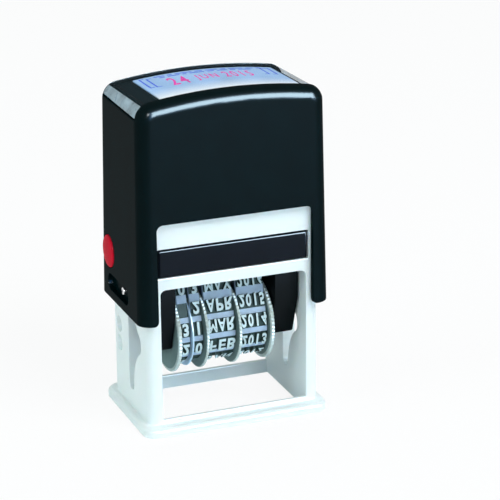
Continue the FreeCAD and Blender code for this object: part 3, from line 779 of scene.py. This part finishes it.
def card_marks(date_height):
    """The card's generic print: brackets and dashes, then the day, month and year."""
    line, dash_gap = mm(0.5), 0.9
    marks = []
    for x, low, high, hook in brackets:
        x, low, high, hook = mm(x), mm(low), mm(high), mm(hook)
        marks.append(flat_bar((x - line / 2, x + line / 2), (low, high)))
        for y in (low, high - line):
            marks.append(flat_bar(between(x, x + hook), (y, y + line)))
    for y, x, lengths in dashed_lines:
        for length in lengths:
            marks.append(flat_bar((mm(x), mm(x + length)), (mm(y) - line, mm(y) + line / 2)))
            x += length + dash_gap
    date = [flat_words("24", mm(5.4), date_height, mm(-7.9), mm(4.8)),
            flat_words("JUN", mm(6.6), date_height * 0.8, mm(0.5), mm(4.6)),
            flat_words("2015", mm(8.4), date_height * 0.8, mm(9.9), mm(5.6))]
    return marks, date


def build_card(context):
    cap = context.scene.stamp_cap
    lens = context.scene.stamp_lens
    colours = context.scene.stamp_finishes
    gap = mm(0.04)
    top = lens.drop + lens.thickness + gap
    card = crowned_skin("index_card_printed", cap, top, top + lens.card_thickness,
                        span("index_card", 1), cap.roof_z - mm(2), span("index_card", 0))
    tidy(card, flat_degrees=0.02)
    smooth(card)
    materials = [paper(colours.card), print_ink("card_blue_ink", colours.card_blue),
                 print_ink("card_red_ink", colours.card_red)]
    give_materials(card, materials)
    marks, date = card_marks(lens.date_height)
    for number, mark in [(1, mark) for mark in marks] + [(2, words) for words in date]:
        with editing(mark, 'FACE'):
            pick_all()
            bpy.ops.mesh.quads_convert_to_tris()
        apply(mark, 'SHRINKWRAP', target=card, wrap_method='PROJECT', use_project_z=True,
              use_negative_direction=True, use_positive_direction=False, offset=mm(0.012))
        give_materials(mark, materials, lambda face: number)
    join(card, marks + date)
    fit(card, "index_card", "cap")


# ---- Lock buttons and turning pins

def build_buttons(context):
    colour = context.scene.stamp_finishes.button
    material = moulded("red_button_plastic", colour, 0.14, 0.16, grain=mm(0.002))
    sunk, dome, stem_radius = mm(0.4), mm(0.55), mm(1.8)
    head = mm(1.4) - sunk
    chamfer, chamfer_rise, ring, edge_round = mm(0.35), mm(0.16), mm(0.8), mm(0.18)
    for side, node in ((-1, "left_lock_button"), (1, "right_lock_button")):
        radius = radius_of(node)
        outer, tip = span(node, 0)[::-side]
        rim = outer - side * sunk - side * dome
        back = rim - side * head
        button = add_rod(node.replace("lock", "red"), radius, between(rim, back),
                         middle(node, 1), middle(node, 2), sides=96)
        with editing(button, 'FACE'):
            pick(button, "faces", lambda f: f.normal.x * side > 0.9)
            bpy.ops.mesh.inset(thickness=chamfer)
            move((side * chamfer_rise, 0, 0))
            left = radius - chamfer
            for _ in range(4):
                bpy.ops.mesh.inset(thickness=ring)
                share = (left ** 2 - (left - ring) ** 2) / (radius - chamfer) ** 2
                move((side * (dome - chamfer_rise) * share, 0, 0))
                left -= ring
            pick(button, "faces", lambda f: f.normal.x * side < -0.9 and len(f.verts) > 4)
            bpy.ops.mesh.inset(thickness=radius - stem_radius)
            bpy.ops.mesh.extrude_region_move(TRANSFORM_OT_translate={"value": (tip - back, 0, 0)})
            pick(button, "edges", lambda e: both(e, lambda p: abs(p.x - rim) < mm(0.01))
                 and e.calc_face_angle(0) > 0.2)
            round_edges(edge_round, 3)
        smooth(button, 40)
        fit(button, node, "left_button" if side < 0 else "right_button", material)


def build_pins(context):
    material = steel("turned_pin_steel", context.scene.stamp_finishes.steel, 0.24, (0.2, 1, 1))
    radius, edge_round, dimple_edge, dimple = mm(1.1), mm(0.22), mm(0.5), mm(0.12)
    for side, node in ((-1, "left_pivot_pin"), (1, "right_pivot_pin")):
        x = span(node, 0)
        outer = x[::-side][0]
        pin = add_rod(node.replace("pivot", "steel"), radius, x, 0, middle(node, 2), sides=48)
        with editing(pin, 'EDGE'):
            pick(pin, "edges", lambda e: not along(e, 0))
            round_edges(edge_round, 4)
            pick(pin, "faces", lambda f: f.normal.x * side > 0.95
                 and abs(f.calc_center_median().x - outer) < mm(0.01))
            bpy.ops.mesh.inset(thickness=dimple_edge)
            bpy.ops.mesh.inset(thickness=dimple)
            move((-side * dimple, 0, 0))
        smooth(pin, 40)
        fit(pin, node, "cap", material)
    dress("wheel_axle", material)


# ---- Frame, spring and ink pad

def build_frame(context):
    piece = softened_node("base_frame", "white_frame", mm(0.28))
    fit(piece, "base_frame", "frame",
        frame_plastic(context.scene.stamp_finishes.frame))


def build_spring(context):
    low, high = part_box("return_spring")
    wire, turns, steps_in_turn = mm(0.5), 7.5, 32
    mean = (high.x - low.x) / 2 - wire
    rise = (high.z - low.z - 2 * wire) / turns
    clear_selection()
    bpy.ops.mesh.primitive_circle_add(vertices=12, radius=wire, location=(mean, 0, low.z + wire),
                                      rotation=(math.pi / 2, 0, 0))
    spring = new_piece("coil_spring")
    apply(spring, 'SCREW', angle=2 * math.pi * turns, screw_offset=rise * turns, iterations=1,
          steps=int(turns * steps_in_turn), render_steps=int(turns * steps_in_turn),
          use_smooth_shade=True, axis='Z')
    with editing(spring, 'EDGE'):
        bpy.ops.mesh.select_non_manifold()
        bpy.ops.mesh.fill_holes(sides=0)
    with editing(spring, 'FACE'):
        face_outward()
    smooth(spring, 50)
    fit(spring, "return_spring", "frame",
        steel("spring_wire", context.scene.stamp_finishes.spring, 0.3, (1, 1, 0.3)))
    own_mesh(spring)


def build_ink_pad(context):
    colours = context.scene.stamp_finishes
    x, y, z = spans("ink_pad_tray")
    side_wall, front_wall, rear_wall, roof = mm(1.05), mm(1.7), mm(1.5), mm(1.3)
    gate_depth, rib_thickness, rib_roof, over = mm(2.5), mm(0.4), mm(1.0), mm(1)
    inside_x = (x[0] + side_wall, x[1] - side_wall)
    rib_z = span("middle_felt", 2)[0] + mm(0.2)
    tray = add_block("ink_pad_cartridge", x, y, z)
    with editing(tray, 'EDGE'):
        pick(tray, "edges", lambda e: both(e, lambda p: p.y < y[0] + mm(0.1)))
        round_edges(mm(0.7), 3)
    cut(tray, add_block("hollow", inside_x, (y[0] + front_wall, y[1] - rear_wall),
                        (z[0] - over, z[1] - roof)))
    cut(tray, add_block("rear_gate", inside_x, (y[1] - gate_depth, y[1] + over),
                        (z[0] - over, rib_z)))
    for low in (mm(-5.4), mm(5.0)):
        combine(tray, add_block("rib", inside_x, (low, low + rib_thickness),
                                (rib_z, z[1] - rib_roof)), 'UNION')
    tidy(tray)
    ease(tray, mm(0.12))
    smooth(tray)
    fit(tray, "ink_pad_tray", "ink_pad",
        moulded("black_cartridge_plastic", colours.tray, 0.14, 0.2))
    blue, red = felt("blue_ink_felt", colours.blue_felt), felt("red_ink_felt", colours.red_felt)
    for node, slot, material in (("front_felt", "blue_felt", blue),
                                 ("middle_felt", "red_felt", red),
                                 ("rear_felt", "blue_felt", blue)):
        strip = add_block(node + "_strip", *spans(node))
        with editing(strip, 'EDGE'):
            pick_all()
            round_edges(mm(0.35), 3)
        smooth(strip, 40)
        fit(strip, node, "ink_pad", material)


# ---- The dater

def add_text_die(node):
    """A text rubber with a raised rim round two rows of plain bars, which stand for its text."""
    x, y, z = spans(node)
    base_z = z[1] - mm(0.7)
    rim_place, rim, near = mm(0.25), mm(0.35), mm(0.2)
    row_place, half_row, sunk = mm(1.2), mm(0.5), mm(0.05)
    first_x, gap, lengths = -16.5, 0.8, (5.5, 3.0, 7.0, 4.0, 6.0, 3.5)     # in millimetres
    die = add_block(node + "_rubber", x, y, (z[0], base_z))
    with editing(die, 'FACE'):
        pick(die, "faces", lambda f: f.normal.z > 0.9)
        bpy.ops.mesh.inset(thickness=rim_place)
        bpy.ops.mesh.inset(thickness=rim)
        pick(die, "faces", lambda f: f.normal.z > 0.9 and f.calc_area() < mm(1) * (x[1] - x[0])
             and all(x[0] + near < v.co.x < x[1] - near for v in f.verts))
        bpy.ops.mesh.extrude_region_move(TRANSFORM_OT_translate={"value": (0, 0, z[1] - base_z)})
    bars = []
    for row in (-1, 1):
        row_y, place = middle(node, 1) + row * row_place, first_x
        for length in lengths:
            bar = add_block("bar", (mm(place), mm(place + length)),
                            (row_y - half_row, row_y + half_row), (base_z - sunk, z[1]))
            with editing(bar, 'EDGE'):
                pick(bar, "edges", lambda e: both(e, lambda p: p.z > base_z))
                round_edges(mm(0.1), 2)
            bars.append(bar)
            place += length + gap
    join(die, bars)
    smooth(die, 30)
    return die


def build_dater(context):
    colours = context.scene.stamp_finishes
    plastic = moulded("black_dater_plastic", colours.dater, 0.12, 0.3)
    for node, name, edge_round in (("die_holder", "dater_body", mm(0.22)),
                                   ("die_plate", "text_plate", mm(0.12))):
        fit(softened_node(node, name, edge_round), node, "dater", plastic)
    dress("band_platen", plastic)
    material = rubber("text_die_rubber", colours.die)
    for node in ("front_text_die", "rear_text_die"):
        fit(add_text_die(node), node, "dater", material)


def bore_out(piece, radius, x, z):
    """The hole for the axle, through the whole piece."""
    over = mm(1)
    cut(piece, add_rod("bore", radius, (x[0] - over, x[1] + over), 0, z, sides=40))


def add_wheel(node, disc_first, disc_thickness, dater):
    """Serrated thumb wheel with a light web and the drum that its band runs on."""
    x, z = span(node, 0), middle(node, 2)
    disc_x = (x[0], x[0] + disc_thickness) if disc_first else (x[1] - disc_thickness, x[1])
    disc_centre = (sum(disc_x) / 2, 0, z)
    rim_width, web_step, thin_rim, thin_web = mm(0.7), mm(0.8), 0.76, 0.93
    rim_end, web_end, drum_gap, bore = mm(0.5), mm(1.2), mm(0.3), mm(1.55)
    sides = 2 * dater.wheel_teeth
    step = 2 * math.pi / sides

    def below_rim(place):
        return dater.wheel_radius - math.hypot(place.y, place.z - z)
    wheel = add_rod(node.replace("wheel", "thumb_wheel"), dater.wheel_radius, disc_x, 0, z,
                    sides=sides)
    with editing(wheel, 'FACE'):
        pick(wheel, "verts", lambda v: round(math.atan2(v.co.z - z, v.co.y) / step) % 2 == 0)
        inner = 1 - dater.tooth_depth / dater.wheel_radius
        grow((1, inner, inner), disc_centre)
        for side in (-1, 1):
            pick(wheel, "faces", lambda f: f.normal.x * side > 0.95 and len(f.verts) > 8)
            bpy.ops.mesh.inset(thickness=rim_width)
            bpy.ops.mesh.inset(thickness=web_step)
        pick(wheel, "verts", lambda v: below_rim(v.co) < rim_end)
        grow((thin_rim, 1, 1), disc_centre)
        pick(wheel, "verts", lambda v: rim_end < below_rim(v.co) < web_end)
        grow((thin_web, 1, 1), disc_centre)
        pick(wheel, "edges", lambda e: not along(e, 0) and both(
            e, lambda p: below_rim(p) < dater.tooth_depth + mm(0.05)))
        round_edges(mm(0.14), 2)
    drum = dater.drum_radius - dater.band_thickness - drum_gap
    combine(wheel, add_rod("drum", drum, x, 0, z, sides=72), 'UNION')
    bore_out(wheel, bore, x, z)
    smooth(wheel, 38)
    return wheel


def build_wheels(context):
    colours = context.scene.stamp_finishes
    dater = context.scene.stamp_dater
    materials = [moulded("ivory_wheel_plastic", colours.wheel, 0.2, 0.35),
                 moulded("wheel_face_plastic", colours.wheel_face, 0.1, 0.4)]
    for node, disc_first, thickness in (("day_tens_wheel", True, mm(1.3)),
                                        ("day_units_wheel", False, mm(1.0)),
                                        ("month_wheel", False, mm(1.0)),
                                        ("year_wheel", False, mm(1.3))):
        wheel = add_wheel(node, disc_first, thickness, dater)
        # The flat faces take the painted shade, the rims and teeth the ivory plastic.
        give_materials(wheel, materials, lambda face: abs(face.normal.x) > 0.99)
        fit(wheel, node, node.replace("wheel", "dial"))
    node = "day_divider"
    x, z = span(node, 0), middle(node, 2)
    divider = add_rod("blue_divider", radius_of(node), x, 0, z, sides=120)
    with editing(divider, 'EDGE'):
        pick(divider, "edges", lambda e: not along(e, 0))
        round_edges(mm(0.18), 3)
    bore_out(divider, mm(1.52), x, z)
    smooth(divider, 38)
    fit(divider, node, "dater",
        moulded("blue_divider_plastic", colours.divider, 0.3, 0.3))


# ---- The date bands

rows = range(-6, 7)     # the rows of a band, counted from the one that prints


class BeltLine:
    """Line of a band round its wheel and the two nose rounds, seen along X."""

    def __init__(self, dater, axle_z, face_z):
        self.drum_radius = dater.drum_radius
        self.nose_radius = dater.nose_radius
        self.top = dater.nose_half_width
        self.axle_z = axle_z
        self.nose_z = face_z - dater.type_height - dater.nose_radius
        rise = self.nose_z - axle_z
        reach = math.hypot(self.top, rise)
        gap = self.drum_radius - self.nose_radius
        self.lean = math.atan2(rise, self.top) - math.acos(gap / reach)
        self.nose = self.nose_radius * (math.pi / 2 - self.lean)
        self.run = math.sqrt(reach ** 2 - gap ** 2)
        self.half_length = (self.top + self.nose + self.run
                            + self.drum_radius * (math.pi / 2 + self.lean))

    def place(self, distance):
        """Y, Z and outward angle at a distance from the top, towards +Y when positive."""
        rest = abs(distance)
        gone = rest - self.top - self.nose
        if rest <= self.top:
            y, z, angle = rest, self.nose_z + self.nose_radius, math.pi / 2
        elif gone <= self.run:
            straight = max(gone, 0)
            angle = self.lean if gone > 0 else math.pi / 2 - (rest - self.top) / self.nose_radius
            y = self.top + self.nose_radius * math.cos(angle) + straight * math.sin(angle)
            z = self.nose_z + self.nose_radius * math.sin(angle) - straight * math.cos(angle)
        else:
            angle = self.lean - (gone - self.run) / self.drum_radius
            y = self.drum_radius * math.cos(angle)
            z = self.axle_z + self.drum_radius * math.sin(angle)
        if distance < 0:
            return -y, z, math.pi - angle
        return y, z, angle


def close_round_belt(piece, belt, x):
    """Wrap a straight strip, Y along it and Z outwards, round the belt line at a place along X."""
    for vertex in piece.data.vertices:
        across, distance, out = vertex.co
        y, z, angle = belt.place(distance)
        vertex.co = (x + across, y + out * math.cos(angle), z + out * math.sin(angle))


def add_strip(name, width, belt, dater):
    """A straight rubber strip with a shallow field for each row of characters."""
    field, field_slope, cuts = dater.character_height / 2 + mm(0.15), mm(0.18), 191
    strip = add_block(name, (-width / 2, width / 2), (-belt.half_length, belt.half_length),
                      (-dater.band_thickness, 0))

    def in_row(face):
        place = face.calc_center_median().y
        return face.normal.z > 0.9 and any(
            abs(place - row * dater.row_pitch) < field for row in rows)
    with editing(strip, 'EDGE'):
        pick(strip, "faces", lambda f: abs(f.normal.y) > 0.9)
        bpy.ops.mesh.delete(type='FACE')
        pick(strip, "edges", lambda e: along(e, 1))
        bpy.ops.mesh.subdivide(number_cuts=cuts)
        pick(strip, "faces", in_row)
        bpy.ops.mesh.inset(thickness=field_slope, depth=-dater.row_recess, use_boundary=True)
    return strip


def make_character(character, width, height, depth):
    """One bold raised character, mirrored front to back as type is."""
    boldness, narrowest, top_width, top_height = 0.042, 0.6, 0.94, 0.965     # shares of its size
    text_mesh(character, extrude=0.5).location = (0, 0, 0.5)
    piece = new_piece("type_" + character)
    with editing(piece, 'VERT'):
        pick_all()
        bpy.ops.mesh.remove_doubles(threshold=0.0005)
        bpy.ops.mesh.normals_make_consistent(inside=False)
        bpy.ops.transform.shrink_fatten(value=boldness, use_even_offset=True)
        for face_z in (0, 1):
            pick(piece, "verts", lambda v: abs(v.co.z - face_z) < 0.5)
            grow((1, 1, 0), (0, 0, face_z))
    xs = [v.co.x for v in piece.data.vertices]
    ys = [v.co.y for v in piece.data.vertices]
    across = width / max(max(xs) - min(xs), narrowest)
    with editing(piece, 'VERT'):
        pick_all()
        move((-(max(xs) + min(xs)) / 2, -(max(ys) + min(ys)) / 2, 0))
        grow((across, -height / (max(ys) - min(ys)), depth), (0, 0, 0))
        pick(piece, "verts", lambda v: v.co.z > depth / 2)
        grow((top_width, top_height, 1), (0, 0, depth))
        face_outward()
    return piece


def add_letters(words, pitch, dater, materials):
    """The raised characters of a band, laid out along its straight strip."""
    depth = dater.type_height + dater.row_recess
    masters, letters = {}, []
    for row, word in words.items():
        for place, character in enumerate(word):
            if character == " ":
                continue
            if character not in masters:
                masters[character] = make_character(character, pitch * 0.97,
                                                    dater.character_height, depth)
            letter = copy_of(masters[character], "letter")
            letter.location = ((place - (len(word) - 1) / 2) * pitch, row * dater.row_pitch,
                               -dater.row_recess)
            settle(letter)
            # Tops of the characters take the painted-lit copy of the rubber, their sides the
            # painted shade.
            give_materials(letter, materials, lambda face: 2 if face.normal.z > 0.8 else 1)
            letters.append(letter)
    for master in masters.values():
        discard(master)
    return letters


def add_band(node, words, pitch, dater, materials):
    """A date band: the strip, its rows of characters, closed into its loop."""
    x = span(node, 0)
    axle_z = middle("wheel_axle", 2)
    belt = BeltLine(dater, axle_z, span(node, 2)[1])
    strip = add_strip(node + "_rubber", x[1] - x[0], belt, dater)
    # The recessed fields round the rows take the painted shade.
    give_materials(strip, materials, lambda face: face.center.z < -dater.row_recess * 0.4
                   and face.normal.z > -0.5 and abs(face.normal.x) < 0.9)
    join(strip, add_letters(words, pitch, dater, materials))
    close_round_belt(strip, belt, sum(x) / 2)
    seam_y, seam_z = mm(0.01), axle_z - belt.drum_radius + mm(1.2)
    with editing(strip, 'VERT'):
        pick(strip, "verts", lambda v: abs(v.co.y) < seam_y and v.co.z < seam_z)
        bpy.ops.mesh.remove_doubles(threshold=mm(0.01))
    smooth(strip, 32)
    fit(strip, node, "dater")


def build_bands(context):
    colours = context.scene.stamp_finishes
    # Band rubber, its painted-shade copy for the fields and the characters' sides, and its
    # painted-lit copy for the characters' tops.
    materials = [rubber("band_rubber", colours.band),
                 rubber("band_field_rubber", colours.band_field),
                 rubber("band_type_rubber", colours.band_type)]
    months = ["JAN", "FEB", "MAR", "APR", "MAY", "JUN", "JUL", "AUG", "SEP", "OCT", "NOV", "DEC"]
    tens = {row: "0123 "[(row + 2) % 5] for row in rows}
    units = {row: str(row + 5) if 0 <= row + 5 <= 9 else " " for row in rows}
    month = {row: months[row + 6] for row in rows if 0 <= row + 6 < len(months)}
    year = {row: str(2018 + row) for row in rows}
    for node, words, pitch in (("day_tens_band", tens, mm(2.6)), ("day_units_band", units, mm(2.6)),
                               ("month_band", month, mm(2.75)), ("year_band", year, mm(2.02))):
        add_band(node, words, pitch, context.scene.stamp_dater, materials)


# ---- Floor, light and camera

def add_soft_box(name, place, size, power, colour, in_gloss):
    """A soft box towards the stamp that either lights it or only shows in gloss."""
    clear_selection()
    bpy.ops.object.light_add(type='AREA', location=place)
    lamp = bpy.context.object
    lamp.name = name
    lamp.data.shape = 'RECTANGLE'
    lamp.data.size, lamp.data.size_y = size
    lamp.data.energy = power
    lamp.data.color = colour
    towards = Vector((0, 0, mm(50))) - Vector(place)
    lamp.rotation_euler = towards.to_track_quat('-Z', 'Y').to_euler()
    lamp.visible_diffuse = not in_gloss
    lamp.visible_glossy = in_gloss


def seen_directly(tree):
    """1 for the rays of the camera, of gloss and of clear plastic, else 0."""
    path = add_node(tree, "LightPath", {})
    seen = path.outputs["Is Camera Ray"]
    for name in ("Is Glossy Ray", "Is Transmission Ray"):
        seen = add_node(tree, "Math", {0: seen, 1: path.outputs[name]},
                        operation='MAXIMUM').outputs["Value"]
    return seen


def pale_floor(studio):
    """Matt floor that is lifted towards white where it is seen, and keeps its shadow."""
    finish = Finish("pale_floor", studio.floor, 0.9, **{"Specular IOR Level": 0.1})
    finish.vary_colour(3, shade(studio.floor, 0.995), studio.floor)
    tree = finish.tree
    lift = add_node(tree, "Math", {0: seen_directly(tree), 1: studio.floor_lift},
                    operation='MULTIPLY')
    mix = add_node(tree, "MixShader", {
        "Fac": lift.outputs["Value"], 1: finish.shader.outputs["BSDF"],
        2: add_node(tree, "Emission", {}).outputs["Emission"]})
    tree.links.new(mix.outputs["Shader"], tree.nodes["Material Output"].inputs["Surface"])
    return finish.material


def light_world(context, level):
    """Even light from all round, and white where the backdrop is seen."""
    world = context.scene.world or bpy.data.worlds.new("studio_world")
    context.scene.world = world
    world.use_nodes = True
    tree = world.node_tree
    tree.nodes.clear()
    light, white = [
        add_node(tree, "Background", {"Color": colour, "Strength": strength}).outputs["Background"]
        for colour, strength in (((0.80, 0.98, 0.97, 1), level), ((1, 1, 1, 1), 1))]
    mix = add_node(tree, "MixShader", {"Fac": seen_directly(tree), 1: light, 2: white})
    add_node(tree, "OutputWorld", {"Surface": mix.outputs["Shader"]})


def place_camera(context, studio):
    """The camera, fitted to the straight edges of the stamp."""
    turn, lift, roll = studio.azimuth, studio.elevation, studio.roll
    back = Vector((math.sin(turn) * math.cos(lift), -math.cos(turn) * math.cos(lift),
                   math.sin(lift)))
    right = Vector((math.cos(turn), math.sin(turn), 0))
    up = back.cross(right)
    aim = right * mm(10.18) + Vector((0, 0, mm(46.28)))
    tilted_right = right * math.cos(roll) + up * math.sin(roll)
    tilted_up = up * math.cos(roll) - right * math.sin(roll)
    clear_selection()
    bpy.ops.object.camera_add(location=(0, 0, 0))
    camera = context.object
    camera.name = "photo_camera"
    camera.data.lens = studio.focal_length
    camera.data.sensor_width = 36
    camera.data.clip_start = 0.01
    place = Matrix((tilted_right, tilted_up, back)).transposed().to_4x4()
    place.translation = aim + back * studio.distance
    camera.matrix_world = place
    context.scene.camera = camera


def build_stage(context):
    studio = context.scene.stamp_studio
    clear_selection()
    bpy.ops.mesh.primitive_plane_add(size=6, location=(0, 0, 0))
    floor = new_piece("studio_floor")
    floor.data.materials.append(pale_floor(studio))
    light_world(context, studio.world_level)
    glint = studio.glint_power
    for box in (
            ("key_soft_box", (0.40, -0.80, 1.0), (0.7, 0.5), studio.key_power,
             (1.0, 0.99, 0.98), False),
            ("top_soft_box", (0.05, 0.3, 1.2), (0.9, 0.9), studio.top_power,
             (0.96, 0.99, 1.0), False),
            ("left_soft_box", (-1.1, -0.1, 0.7), (0.7, 0.7), studio.side_power,
             (0.86, 1.0, 0.98), False),
            ("glint_soft_box", (0.42, -0.94, 0.46), (0.84, 0.64), glint, (0.70, 0.90, 1.0), True),
            ("blue_halo_box", (0.345, -1.0, 0.45), (1.25, 0.86), glint * 0.2,
             (0.10, 0.42, 1.0), True),
            ("corner_glint_box", (-0.38, -0.90, 0.6), (0.14, 0.14), glint * 0.05,
             (0.9, 0.97, 1.0), True)):
        add_soft_box(*box)
    place_camera(context, studio)
    context.scene.view_settings.view_transform = 'Standard'


# ---- Operators, panel and registration

class StampStep:
    """What every step's operator shares."""
    bl_options = {'REGISTER', 'UNDO'}


class STAMP_OT_stage(StampStep, Operator):
    """Add the pale floor, the soft boxes and the camera"""
    bl_idname = "stamp.stage"
    bl_label = "Stage"

    def execute(self, context):
        build_stage(context)
        return {'FINISHED'}


class STAMP_OT_frame(StampStep, Operator):
    """Soften the edges of the white frame"""
    bl_idname = "stamp.frame"
    bl_label = "White frame"

    def execute(self, context):
        build_frame(context)
        return {'FINISHED'}


class STAMP_OT_cap(StampStep, Operator):
    """Model the black cap with its crown, rims, cut-outs and recesses"""
    bl_idname = "stamp.cap"
    bl_label = "Black cap"

    def execute(self, context):
        build_cap(context)
        return {'FINISHED'}


class STAMP_OT_lens(StampStep, Operator):
    """Model the clear lens in the cap's top"""
    bl_idname = "stamp.lens"
    bl_label = "Clear lens"

    def execute(self, context):
        build_lens(context)
        return {'FINISHED'}


class STAMP_OT_card(StampStep, Operator):
    """Model the index card with its generic print"""
    bl_idname = "stamp.card"
    bl_label = "Index card"

    def execute(self, context):
        build_card(context)
        return {'FINISHED'}


class STAMP_OT_buttons(StampStep, Operator):
    """Model the two red lock buttons"""
    bl_idname = "stamp.buttons"
    bl_label = "Lock buttons"

    def execute(self, context):
        build_buttons(context)
        return {'FINISHED'}


class STAMP_OT_pins(StampStep, Operator):
    """Model the two steel turning pins"""
    bl_idname = "stamp.pins"
    bl_label = "Turning pins"

    def execute(self, context):
        build_pins(context)
        return {'FINISHED'}


class STAMP_OT_spring(StampStep, Operator):
    """Wind the return spring"""
    bl_idname = "stamp.spring"
    bl_label = "Return spring"

    def execute(self, context):
        build_spring(context)
        return {'FINISHED'}


class STAMP_OT_ink_pad(StampStep, Operator):
    """Model the ink pad cartridge and its felts"""
    bl_idname = "stamp.ink_pad"
    bl_label = "Ink pad"

    def execute(self, context):
        build_ink_pad(context)
        return {'FINISHED'}


class STAMP_OT_dater(StampStep, Operator):
    """Model the dater's body, text plate and text rubber"""
    bl_idname = "stamp.dater"
    bl_label = "Dater body"

    def execute(self, context):
        build_dater(context)
        return {'FINISHED'}


class STAMP_OT_wheels(StampStep, Operator):
    """Model the serrated thumb wheels and the divider"""
    bl_idname = "stamp.wheels"
    bl_label = "Thumb wheels"

    def execute(self, context):
        build_wheels(context)
        return {'FINISHED'}


class STAMP_OT_bands(StampStep, Operator):
    """Model the four date bands with their characters"""
    bl_idname = "stamp.bands"
    bl_label = "Date bands"

    def execute(self, context):
        build_bands(context)
        return {'FINISHED'}


steps = (STAMP_OT_stage, STAMP_OT_frame, STAMP_OT_cap, STAMP_OT_lens, STAMP_OT_card,
         STAMP_OT_buttons, STAMP_OT_pins, STAMP_OT_spring, STAMP_OT_ink_pad, STAMP_OT_dater,
         STAMP_OT_wheels, STAMP_OT_bands)
settings = (("stamp_cap", CapSizes), ("stamp_lens", LensSizes), ("stamp_dater", DaterSizes),
            ("stamp_finishes", Finishes), ("stamp_studio", Studio))


class STAMP_PT_panel(Panel):
    """Steps and settings of the date stamp"""
    bl_label = "Date stamp"
    bl_space_type = 'VIEW_3D'
    bl_region_type = 'UI'
    bl_category = "Date stamp"

    def draw(self, context):
        for step in steps:
            self.layout.operator(step.bl_idname)
        for name, group in settings:
            box = self.layout.box()
            values = getattr(context.scene, name)
            for key in group.__annotations__:
                box.prop(values, key)


def register():
    for name, group in settings:
        bpy.utils.register_class(group)
        setattr(bpy.types.Scene, name, PointerProperty(type=group))
    for step in steps:
        bpy.utils.register_class(step)
    bpy.utils.register_class(STAMP_PT_panel)


def unregister():
    bpy.utils.unregister_class(STAMP_PT_panel)
    for step in reversed(steps):
        bpy.utils.unregister_class(step)
    for name, group in reversed(settings):
        delattr(bpy.types.Scene, name)
        bpy.utils.unregister_class(group)


def main():
    register()
    clear_selection()
    for step in steps:
        folder, name = step.bl_idname.split(".")
        getattr(getattr(bpy.ops, folder), name)()
    clear_selection()


if __name__ == "__main__":
    main()
